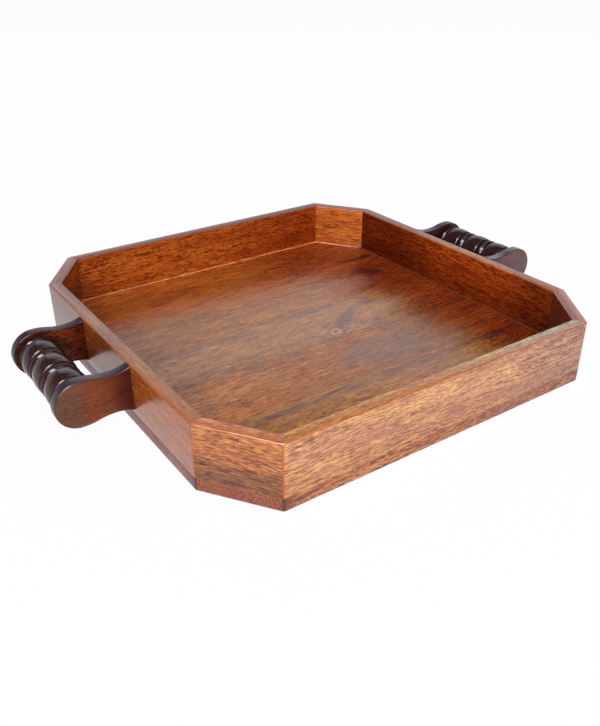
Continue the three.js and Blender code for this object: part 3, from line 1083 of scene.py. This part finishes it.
def bracket_wood(tones, seed, wall_side, strength, tints=(), **changes):
    """A bracket's grain, painted darker towards its wall as painted shade. Wall side is 1 where its wall
    lies towards +X and -1 where towards -X.
    """
    # Painted shade towards the wall
    shade = tint((0.34, 0.2, 0.12), X, 4 * wall_side, 30 * wall_side)
    return plain_wood(
        tones,
        seed,
        pith=(-30, 25),
        rings=0.3,
        fibres=strength,
        dashes=strength,
        wear=0.9,
        wear_tone=(38, 28, 36),
        roughness=0.24,
        tints=[shade, *tints],
        **changes,
    )


def painted_seat_shade(wall_side):
    """Painted shade on the inner face round the spindle's seat."""
    return mark((-13.5 * wall_side, 0), (30, 24), 0.85, (26, 14, 12))


BRACKET_WOOD = {
    "left_front": bracket_wood(
        wood_tones((116, 53, 20), (100, 60, 30), 0.5), 120, 1, 0.5,
        streaks=0.15, sheen=0.25, coarseness=1.6, tints=[tint((0.74, 1.35, 2.6), X, -2, -16)],
    ),
    "left_back": bracket_wood(
        wood_tones((136, 54, 9), (58, 22, 10), 0.4), 129, 1, 3.4,
        streaks=0.8, flecks=0.6, sheen=0.12, coarseness=2, marks=[painted_seat_shade(1)],
    ),
    "right_front": bracket_wood(
        wood_tones((96, 56, 52), (92, 62, 66), 0.5), 138, -1, 0.5, streaks=0.3, coarseness=1.6
    ),
    "right_back": bracket_wood(
        wood_tones((70, 28, 12), (56, 24, 14), 0.5), 147, -1, 1.6,
        sheen=0.15, coarseness=1.6, marks=[painted_seat_shade(-1)],
    ),
}


def spindle_wood(seed):
    return plain_wood(
        wood_tones((48, 23, 17), (46, 24, 20)),
        seed,
        pith=(4, -6),
        ring=4,
        fibres=0.6,
        dashes=0.6,
        # Near black in the grooves and at the feet of the beads: painted shade.
        wear=0.95,
        wear_tone=(14, 8, 7),
        pores=0.1,
        relief=0.3,
        sheen=0.2,
        roughness=0.12,
    )


SPINDLE_WOOD = {"left": spindle_wood(170), "right": spindle_wood(179)}


# Other finishes


def speckled(name, stretch, seed):
    """A new material, its sketch, the place on the surface and a noise stretched over it."""
    material = new_material(name)
    sketch = Grain(material.node_tree)
    place = sketch.node("ShaderNodeTexCoord").outputs["Object"]
    scaled = sketch.node("ShaderNodeVectorMath", place, stretch, operation="MULTIPLY")
    return material, sketch, place, sketch.noise(scaled.outputs[0], 3, 0.6, seed)


def steel_material(colour):
    material, sketch, _, speckle = speckled("plated_steel", (900, 900, 900), 2)
    duller = tinted(colour, (0.72, 0.72, 0.72))
    painted = sketch.blend(sketch.ramp(speckle, 0.4, 0.7), colour, duller)
    sketch.principled(painted, sketch.ramp(speckle, 0.3, 0.7, 0.28, 0.46), Metallic=1)
    return material


def dowel_material(colour):
    material, sketch, _, fibres = speckled("pale_dowel_wood", (60, 1500, 1500), 5)
    darker = tinted(colour, (0.6, 0.6, 0.6))
    painted = sketch.blend(sketch.ramp(fibres, 0.35, 0.7), colour, darker)
    sketch.principled(painted, sketch.ramp(fibres, 0.3, 0.7, 0.65, 0.8))
    return material


def lacquer_material(colour):
    """Clouded lacquer, dark everywhere but along the back wall, where its pale tone is a painted glint
    broken up by the cloud.
    """
    material, sketch, place, cloud = speckled("lacquer_with_painted_glint", (150, 150, 150), 9)
    thin = sketch.ramp(cloud, 0.46, 0.56, 0, 0.5)
    # Pale only along the back wall: a painted glint
    dark_away_from_glint = sketch.ramp(sketch.split(place)[Y], HALF_WIDTH - 40 * MM, HALF_WIDTH - 60 * MM)
    amount = sketch.math("MAXIMUM", thin, dark_away_from_glint * 0.95)
    painted = sketch.blend(amount, colour, tinted(colour, (0.12, 0.07, 0.05)))
    gloss = sketch.ramp(cloud, 0.3, 0.7, 0.16, 0.3)
    sketch.principled(painted, gloss, Specular_IOR_Level=0.3, Coat_Weight=0.1, Coat_Roughness=0.2)
    return material


# Geometry trees

# Where a turned shape is drawn in to its axis, as shares of a spindle's half length and of
# a screw's length
SPINDLE_CLOSES = 0.999
SCREW_OPENS = 0.001

# The handle's sizes that give the spindle its profile
TURNED_SIZES = [
    "shoulder_radius", "shoulder_width", "foot_radius", "groove_radius", "groove_width", "ring_radius",
    "ring_width", "collar_radius", "collar_width", "tenon_radius", "barrels",
]

# A bar of the screw's cross recess, as shares of the head's radius
RECESS_WIDTH = 0.26
RECESS_DEPTH = 0.8
SCREW_SEED = 7

# The bead of lacquer: distance between its rings, how much it swells as a share of its
# size, the scale of the noise that it swells with, and the faces round it
FILLET_STEP = 1.5 * MM
FILLET_UNEVENNESS = 0.8
FILLET_NOISE_SCALE = 220
FILLET_SIDES = 12


def shape_tree(name, sizes):
    """A geometry tree with one named input for each size, its sketch and its inputs."""
    tree = bpy.data.node_groups.new(name, "GeometryNodeTree")
    tree.interface.new_socket("Geometry", in_out="INPUT", socket_type="NodeSocketGeometry")
    tree.interface.new_socket("Geometry", in_out="OUTPUT", socket_type="NodeSocketGeometry")
    for label, value in sizes.items():
        kind = "NodeSocketFloat"
        if isinstance(value, int):
            kind = "NodeSocketInt"
        if isinstance(value, Vector):
            kind = "NodeSocketVector"
        tree.interface.new_socket(label, in_out="INPUT", socket_type=kind)
    sketch = Sketch(tree)
    inputs = sketch.node("NodeGroupInput").outputs
    return tree, sketch, {socket.name: Value(sketch, socket) for socket in inputs}


def run_tree(piece, tree, sizes):
    """Runs a geometry tree on a piece with its inputs set, and keeps the result."""
    modifier = piece.modifiers.new(tree.name, "NODES")
    modifier.node_group = tree
    sockets = {item.name: item.identifier for item in tree.interface.items_tree if item.in_out == "INPUT"}
    for label, value in sizes.items():
        modifier[sockets[label]] = value
    make_plain(piece)


def end_tree(sketch, geometry, material):
    realized = sketch.node("GeometryNodeRealizeInstances", geometry)
    painted = sketch.node("GeometryNodeSetMaterial", realized.outputs[0])
    painted.inputs["Material"].default_value = material
    sketch.node("NodeGroupOutput", painted.outputs[0])


def hump(position, half_width, foot, crest):
    """A bead's radius: the crest in the middle, the foot at half a width from it."""
    share = position / half_width
    return crest - share * share * (crest - foot)


def turned_grid(sketch, given, half_length, radius_at):
    """A grid rolled round the Y axis, its radius worked out from the place along it."""
    grid = sketch.node("GeometryNodeMeshGrid", 1.0, 1.0, given["Steps"], given["Sides"])
    place = sketch.split(sketch.node("GeometryNodeInputPosition").outputs[0])
    along = place[X] * (half_length * 2)
    angle = place[Y] * (2 * math.pi)
    radius = radius_at(along, angle)
    rolled = sketch.join(radius * sketch.math("SINE", angle), along, radius * sketch.math("COSINE", angle))
    shaped = sketch.node("GeometryNodeSetPosition", grid.outputs["Mesh"])
    sketch.feed(shaped.inputs["Position"], rolled)
    closed = sketch.node("GeometryNodeMergeByDistance", shaped.outputs[0])
    closed.inputs["Distance"].default_value = MM / 1000
    return closed.outputs[0]


def spindle_tree(sizes, material):
    tree, sketch, given = shape_tree("turned_spindle", sizes)
    foot = given["Foot Radius"]

    def radius_at(along, _angle):
        distance = abs(along)
        half_barrel = given["Barrel Length"] / 2
        period = given["Barrel Length"] + (given["Ring Width"] + given["Groove Width"] * 2)
        shifted = sketch.math("FRACT", given["Barrels"] / 2) * 2
        centred = along + (1 - shifted) * (period / 2)
        turns = sketch.math("ROUND", centred / period)
        local = abs(centred - turns * period)

        shoulder_start = half_barrel - given["Shoulder Width"]
        barrel = hump(local, shoulder_start, given["Shoulder Radius"], given["Crest Radius"])
        to_end = abs((half_barrel - local) / given["Shoulder Width"])
        left = 1 - sketch.math("SQRT", to_end)
        shoulder = foot + (1 - left * left) * (given["Shoulder Radius"] - foot)
        groove_share = (local - half_barrel) / given["Groove Width"]
        groove = foot - (foot - given["Groove Radius"]) * sketch.math("SINE", groove_share * math.pi)
        ring = hump(local - period / 2, given["Ring Width"] / 2, foot, given["Ring Radius"])
        half_collar = given["Collar Width"] / 2
        from_collar = distance - (given["Half Face"] - half_collar)
        collar = hump(from_collar, half_collar, foot, given["Collar Radius"])

        radius = sketch.below(local, half_barrel + given["Groove Width"], groove, ring)
        radius = sketch.below(local, half_barrel, shoulder, radius)
        radius = sketch.below(local, shoulder_start, barrel, radius)
        radius = sketch.below(distance, given["Half Face"] - given["Collar Width"], radius, collar)
        radius = sketch.below(distance, given["Half Face"], radius, given["Tenon Radius"])
        return sketch.below(distance, given["Half Length"] * SPINDLE_CLOSES, radius, 0.0)

    turned = turned_grid(sketch, given, given["Half Length"], radius_at)
    x, _, z = sketch.split(sketch.node("GeometryNodeInputPosition").outputs[0])
    # Marks the grooves and the feet of the beads, which the finish paints near black as painted shade.
    above_foot = sketch.math("SQRT", x * x + z * z) - foot
    painted_groove_shade = sketch.node("GeometryNodeStoreNamedAttribute", turned)
    painted_groove_shade.inputs["Name"].default_value = "wear"
    sketch.feed(painted_groove_shade.inputs["Value"], sketch.math("SUBTRACT", 1, above_foot / MM, clamp=True))
    soft = sketch.node("GeometryNodeSetShadeSmooth", painted_groove_shade.outputs[0])
    moved = sketch.node("GeometryNodeTransform", soft.outputs[0])
    sketch.feed(moved.inputs["Translation"], given["Place"])
    end_tree(sketch, moved.outputs[0], material)
    return tree


def screw_tree(sizes, material):
    tree, sketch, given = shape_tree("countersunk_screws", sizes)
    half_length = given["Length"] / 2
    head = given["Head Radius"]

    def radius_at(along, angle):
        from_head = along + half_length
        to_tip = half_length - along
        phase = sketch.math("FRACT", from_head / given["Pitch"] - angle / (2 * math.pi))
        thread = sketch.math("POWER", abs(phase * 2 - 1), 3) * (given["Radius"] - given["Core"])
        point = sketch.math("MINIMUM", to_tip / given["Tip Length"], 1.0)
        body = sketch.math("MAXIMUM", (given["Core"] + thread) * point, head - from_head)
        return sketch.below(from_head, given["Length"] * SCREW_OPENS, 0.0, body)

    upright = sketch.node("GeometryNodeTransform", turned_grid(sketch, given, half_length, radius_at))
    upright.inputs["Rotation"].default_value = (QUARTER_TURN, 0, 0)
    sketch.feed(upright.inputs["Translation"], sketch.join(0.0, 0.0, half_length))
    recessed = sketch.node("GeometryNodeMeshBoolean", upright.outputs[0], operation="DIFFERENCE")
    for turn in (0, QUARTER_TURN):
        bar = sketch.node("GeometryNodeMeshCube")
        sketch.feed(bar.inputs["Size"], sketch.join(head, head * RECESS_WIDTH, head * RECESS_DEPTH))
        turned_bar = sketch.node("GeometryNodeTransform", bar.outputs["Mesh"])
        turned_bar.inputs["Rotation"].default_value = (0, 0, turn)
        sketch.feed(recessed.inputs["Mesh 2"], turned_bar.outputs[0])
    spin = sketch.node("FunctionNodeRandomValue", data_type="FLOAT")
    spin.inputs[2].default_value = 0
    spin.inputs[3].default_value = math.pi
    sketch.feed(spin.inputs["Seed"], given["Seed"])
    placed = sketch.node("GeometryNodeInstanceOnPoints", given["Geometry"])
    sketch.feed(placed.inputs["Instance"], recessed.outputs[0])
    sketch.feed(placed.inputs["Rotation"], sketch.join(0.0, 0.0, spin.outputs[1]))
    end_tree(sketch, placed.outputs[0], material)
    return tree


def fillet_tree(sizes, material):
    tree, sketch, given = shape_tree("lacquer_fillet", sizes)
    path = sketch.node("GeometryNodeMeshToCurve", given["Geometry"])
    even = sketch.node("GeometryNodeResampleCurve", path.outputs[0])
    even.mode = "LENGTH"
    sketch.feed(even.inputs["Length"], given["Step"])
    section = sketch.node("GeometryNodeCurvePrimitiveCircle")
    section.inputs["Resolution"].default_value = FILLET_SIDES
    sketch.feed(section.inputs["Radius"], given["Size"])
    tube = sketch.node("GeometryNodeCurveToMesh", even.outputs[0], section.outputs["Curve"])
    tube.inputs["Fill Caps"].default_value = False
    noise = sketch.node("ShaderNodeTexNoise")
    noise.inputs["Scale"].default_value = FILLET_NOISE_SCALE
    noise.inputs["Detail"].default_value = 2
    swell = (Value(sketch, noise.outputs["Fac"]) - 0.5) * (given["Size"] * given["Unevenness"])
    normal = sketch.node("GeometryNodeInputNormal").outputs[0]
    offset = sketch.node("ShaderNodeVectorMath", normal, operation="SCALE")
    sketch.feed(offset.inputs["Scale"], swell)
    uneven = sketch.node("GeometryNodeSetPosition", tube.outputs[0])
    sketch.feed(uneven.inputs["Offset"], offset.outputs[0])
    soft = sketch.node("GeometryNodeSetShadeSmooth", uneven.outputs[0])
    end_tree(sketch, soft.outputs[0], material)
    return tree


# Operators


class TRAY_OT_base(Operator):
    """Builds the six glued boards of the base, bored for the screws"""

    bl_idname = "tray.base"
    bl_label = "Base Boards"

    def execute(self, context):
        body = context.scene.tray_body
        sides = body_sides(body)
        for row in ROWS:
            solid = base_solid(sides, body)
            for point, normal in row_cuts(row):
                keep_side(solid, point - normal * body.joint_gap / 4, normal)
            cutters = screw_cutters(context.scene.tray_fixings)
            material = wood_material(f"base_wood_{row}", (0, 0, BASE_TOP), (0, 0, 0), BASE_WOOD[row])
            bored_board(f"base_board_{row}", solid, cutters, material)
        return {"FINISHED"}


class TRAY_OT_walls(Operator):
    """Builds the four walls and the four corner boards, mitred where they meet"""

    bl_idname = "tray.walls"
    bl_label = "Walls and Corner Boards"

    def execute(self, context):
        body = context.scene.tray_body
        fixings = context.scene.tray_fixings
        for side in body_sides(body):
            node = side["name"]
            cutters = screw_cutters(fixings) + dowel_cutters(fixings, "dowel")
            turn = (QUARTER_TURN, 0, side["heading"])
            material = wood_material(f"{node}_wood", middle(node), turn, SIDE_WOOD[node])
            bored_board(node, board_solid(side, body), cutters, material)
        return {"FINISHED"}


class TRAY_OT_brackets(Operator):
    """Builds the four handle brackets with their round ends, bored for dowels and tenons"""

    bl_idname = "tray.brackets"
    bl_label = "Handle Brackets"

    def execute(self, context):
        handle = context.scene.tray_handle
        fixings = context.scene.tray_fixings
        for label, side_sign in HANDLES.items():
            for end in ENDS:
                place = f"{label}_{end}"
                node = f"bracket_{place}"
                tenon = bore(f"spindle_{label}", Y, handle.tenon_radius, fixings.clearance)
                cutters = dowel_cutters(fixings, f"dowel_{place}") + [tenon]
                turn = (QUARTER_TURN, 0, 0)
                material = wood_material(f"{node}_wood", middle(node), turn, BRACKET_WOOD[place])
                solid = bracket_solid(handle, node, side_sign)
                bored_board(node, solid, cutters, material)
        return {"FINISHED"}


class TRAY_OT_spindles(Operator):
    """Turns the two spindles, each with its barrels, rings, grooves and tenons"""

    bl_idname = "tray.spindles"
    bl_label = "Turned Spindles"

    def execute(self, context):
        handle = context.scene.tray_handle
        profile = {label.replace("_", " ").title(): getattr(handle, label) for label in TURNED_SIZES}
        rings = (handle.barrels - 1) * (handle.ring_width + 2 * handle.groove_width)
        ends = 2 * (handle.collar_width + handle.groove_width)
        for label in HANDLES:
            node = f"spindle_{label}"
            low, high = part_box(node)
            inner_faces = lowest(f"bracket_{label}_back", Y) - highest(f"bracket_{label}_front", Y)
            half_face = inner_faces / 2 - context.scene.tray_fixings.clearance
            sizes = {
                "Half Length": (high.y - low.y) / 2,
                "Half Face": half_face,
                "Barrel Length": (2 * half_face - ends - rings) / handle.barrels,
                "Crest Radius": (high.z - low.z) / 2,
                "Place": middle(node),
                **profile,
                **SPINDLE_STEPS,
            }
            turn = (0, 0, QUARTER_TURN)
            material = wood_material(f"{node}_wood", middle(node), turn, SPINDLE_WOOD[label])
            piece = new_piece(f"turned_{node}", bpy.data.meshes.new(node))
            run_tree(piece, spindle_tree(sizes, material), sizes)
            smooth(piece.data, 50)
            finish_piece(piece, material, [node])
        return {"FINISHED"}


class TRAY_OT_screws(Operator):
    """Places the countersunk screws that hold the walls to the base"""

    bl_idname = "tray.screws"
    bl_label = "Screws"

    def execute(self, context):
        fixings = context.scene.tray_fixings
        nodes = nodes_like("screw")
        places = [Vector((middle(node).x, middle(node).y, lowest(node, Z))) for node in nodes]
        mesh = bpy.data.meshes.new("screws")
        mesh.from_pydata(places, [], [])
        sizes = {
            "Length": highest(nodes[0], Z) - lowest(nodes[0], Z),
            "Radius": fixings.screw_radius,
            "Core": fixings.screw_core,
            "Head Radius": fixings.screw_head,
            "Pitch": fixings.screw_pitch,
            "Tip Length": fixings.screw_tip,
            "Seed": SCREW_SEED,
            **SCREW_STEPS,
        }
        material = steel_material(context.scene.tray_tones.steel)
        piece = new_piece("countersunk_screws", mesh)
        run_tree(piece, screw_tree(sizes, material), sizes)
        smooth(piece.data, 40)
        finish_piece(piece, material, nodes)
        return {"FINISHED"}


class TRAY_OT_dowels(Operator):
    """Gives the hidden dowels their bare pale wood"""

    bl_idname = "tray.dowels"
    bl_label = "Dowels"

    def execute(self, context):
        material = dowel_material(context.scene.tray_tones.dowel)
        for node in nodes_like("dowel"):
            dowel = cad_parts[node]
            dowel.data.materials.clear()
            dowel.data.materials.append(material)
        return {"FINISHED"}


class TRAY_OT_lacquer(Operator):
    """Lays the uneven bead of lacquer left where the walls meet the floor of the tray"""

    bl_idname = "tray.lacquer"
    bl_label = "Lacquer in the Corners"

    def execute(self, context):
        corners = []
        for side in body_sides(context.scene.tray_body):
            along = WALL_THICKNESS * math.tan(side["start_half_turn"])
            corners.append(side["place"] @ Vector((along, WALL_THICKNESS, BASE_TOP)))
        edges = [(index, (index + 1) % len(corners)) for index in range(len(corners))]
        mesh = bpy.data.meshes.new("lacquer_fillet")
        mesh.from_pydata(corners, edges, [])
        sizes = {
            "Size": context.scene.tray_fixings.fillet_size,
            "Step": FILLET_STEP,
            "Unevenness": FILLET_UNEVENNESS,
        }
        # The lacquer's pale tone along the back wall is a painted glint
        material = lacquer_material(context.scene.tray_tones.lacquer)
        piece = new_piece("lacquer_fillet", mesh)
        run_tree(piece, fillet_tree(sizes, material), sizes)
        finish_piece(piece, material, [])
        return {"FINISHED"}


# Stage

CAMERA_AZIMUTH = math.radians(-34.417)
CAMERA_ELEVATION = math.radians(29.480)
CAMERA_ROLL = math.radians(-0.279)
CAMERA_TARGET = Vector((-57.19, -77.3, 30)) * MM
SENSOR_WIDTH = 36

# Lamps: where each stands, seen from the tray, in degrees round from -Y and up, then its
# distance and its two sides in metres, and how bright its face looks, 1 being white. A lamp
# marked "glints" only shows in the lacquer's reflections and leaves the wood as it is.
LAMPS = {
    "back_softbox": {"round": 145, "up": 29, "distance": 2.6, "size": (3.6, 1.2), "glow": 1.15},
    "top_softbox": {"round": 26, "up": 75, "distance": 1.7, "size": (1.0, 0.7), "glow": 4.2},
    "front_softbox": {"round": -48, "up": 26, "distance": 2.6, "size": (0.7, 1.0), "glow": 22},
    "front_strip": {"round": -24, "up": 34, "distance": 2.6, "size": (0.9, 2.0), "glow": 34, "glints": True},
    "left_strip": {"round": -70, "up": 60, "distance": 2.4, "size": (1.2, 0.9), "glow": 44, "glints": True},
}

# The surroundings are white up to the first height and reach their darkest at the second,
# both as sines of the angle above the horizon
SKY_HEIGHTS = (0.2, 0.42)
SKY_GLOWS = (1.0, 0.28)
FLOOR_GLOW_SHARE = 0.96


def add_camera(stage):
    azimuth, elevation, roll = CAMERA_AZIMUTH, CAMERA_ELEVATION, CAMERA_ROLL
    towards = Vector((math.sin(azimuth), -math.cos(azimuth), 0))
    backwards = math.cos(elevation) * towards + Vector((0, 0, math.sin(elevation)))
    level = Vector((math.cos(azimuth), math.sin(azimuth), 0))
    upright = backwards.cross(level)
    right = math.cos(roll) * level + math.sin(roll) * upright
    up = math.cos(roll) * upright - math.sin(roll) * level
    lens = bpy.data.cameras.new("camera")
    lens.sensor_fit = "HORIZONTAL"
    lens.sensor_width = SENSOR_WIDTH
    lens.lens = stage.focal_length
    lens.clip_start = 0.01
    lens.clip_end = 100
    camera = bpy.data.objects.new("camera", lens)
    turn = Matrix((right, up, backwards)).transposed().to_4x4()
    place = CAMERA_TARGET + backwards * stage.camera_distance
    camera.matrix_world = Matrix.Translation(place) @ turn
    bpy.context.scene.collection.objects.link(camera)
    bpy.context.scene.camera = camera


def add_lamp(name, lamp, colour):
    light = bpy.data.lights.new(name, "AREA")
    light.shape = "RECTANGLE"
    light.size, light.size_y = lamp["size"]
    light.energy = math.pi * light.size * light.size_y * lamp["glow"]
    light.color = colour
    around, up = math.radians(lamp["round"]), math.radians(lamp["up"])
    direction = Vector((math.sin(around) * math.cos(up), -math.cos(around) * math.cos(up), math.sin(up)))
    holder = bpy.data.objects.new(name, light)
    turn = direction.to_track_quat("Z", "Y").to_matrix().to_4x4()
    holder.matrix_world = Matrix.Translation(direction * lamp["distance"]) @ turn
    holder.visible_camera = False
    holder.visible_diffuse = not lamp.get("glints", False)
    bpy.context.scene.collection.objects.link(holder)


def seen_directly(sketch):
    """1 for camera, glossy and transmission rays, which see the floor as white."""
    path = sketch.node("ShaderNodeLightPath").outputs
    seen = sketch.math("ADD", path["Is Camera Ray"], path["Is Glossy Ray"])
    return sketch.math("ADD", seen, path["Is Transmission Ray"], clamp=True)


def add_world(colour):
    world = bpy.data.worlds.new("pale_surroundings")
    world.use_nodes = True
    world.node_tree.nodes.clear()
    sketch = Sketch(world.node_tree)
    direction = sketch.node("ShaderNodeTexCoord").outputs["Generated"]
    height = sketch.split(direction)[Z]
    glow = sketch.node(
        "ShaderNodeMapRange", height, *SKY_HEIGHTS, *SKY_GLOWS, interpolation_type="SMOOTHSTEP"
    )
    background = sketch.node("ShaderNodeBackground", (*colour, 1), glow.outputs[0])
    sketch.node("ShaderNodeOutputWorld", background.outputs[0])
    bpy.context.scene.world = world


def floor_material(colour):
    material = new_material("pale_floor")
    sketch = Sketch(material.node_tree)
    paint = sketch.node("ShaderNodeBsdfDiffuse", (*colour, 1))
    glow = sketch.node("ShaderNodeEmission", (1, 1, 1, 1), 1.0)
    share = seen_directly(sketch) * FLOOR_GLOW_SHARE
    mixed = sketch.node("ShaderNodeMixShader", share, paint.outputs[0], glow.outputs[0])
    sketch.node("ShaderNodeOutputMaterial", mixed.outputs[0])
    return material


class TRAY_OT_stage(Operator):
    """Sets up the camera, the lamps, the surroundings and the pale floor"""

    bl_idname = "tray.stage"
    bl_label = "Stage"

    def execute(self, context):
        stage = context.scene.tray_stage
        tones = context.scene.tray_tones
        add_camera(stage)
        add_world(tones.sky)
        for name, lamp in LAMPS.items():
            add_lamp(name, lamp, tones.sky)
        disc = bmesh.new()
        bmesh.ops.create_circle(disc, cap_ends=True, segments=96, radius=stage.floor_reach)
        mesh = bpy.data.meshes.new("pale_floor")
        disc.to_mesh(mesh)
        disc.free()
        floor = new_piece("pale_floor", mesh)
        mesh.materials.append(floor_material(tones.floor))
        context.scene.view_settings.view_transform = "Standard"
        return {"FINISHED"}


# Panel and registration

OPERATORS = [
    TRAY_OT_stage,
    TRAY_OT_base,
    TRAY_OT_walls,
    TRAY_OT_brackets,
    TRAY_OT_spindles,
    TRAY_OT_screws,
    TRAY_OT_dowels,
    TRAY_OT_lacquer,
]
GROUPS = {
    "tray_body": TrayBody,
    "tray_handle": TrayHandle,
    "tray_fixings": TrayFixings,
    "tray_tones": TrayTones,
    "tray_stage": TrayStage,
}


class TRAY_PT_panel(Panel):
    """Lists the steps that build the tray"""

    bl_idname = "TRAY_PT_panel"
    bl_label = "Wooden Tray"
    bl_space_type = "VIEW_3D"
    bl_region_type = "UI"
    bl_category = "Tray"

    def draw(self, context):
        for operator in OPERATORS:
            self.layout.operator(operator.bl_idname)
        for name, group in GROUPS.items():
            box = self.layout.box()
            for label in group.__annotations__:
                box.prop(getattr(context.scene, name), label)


def register():
    for group in GROUPS.values():
        bpy.utils.register_class(group)
    for name, group in GROUPS.items():
        setattr(bpy.types.Scene, name, PointerProperty(type=group))
    for operator in OPERATORS:
        bpy.utils.register_class(operator)
    bpy.utils.register_class(TRAY_PT_panel)


def unregister():
    bpy.utils.unregister_class(TRAY_PT_panel)
    for operator in reversed(OPERATORS):
        bpy.utils.unregister_class(operator)
    for name in GROUPS:
        delattr(bpy.types.Scene, name)
    for group in reversed(GROUPS.values()):
        bpy.utils.unregister_class(group)


def main():
    register()
    bpy.ops.tray.stage()
    bpy.ops.tray.base()
    bpy.ops.tray.walls()
    bpy.ops.tray.brackets()
    bpy.ops.tray.spindles()
    bpy.ops.tray.screws()
    bpy.ops.tray.dowels()
    bpy.ops.tray.lacquer()


if __name__ == "__main__":
    main()
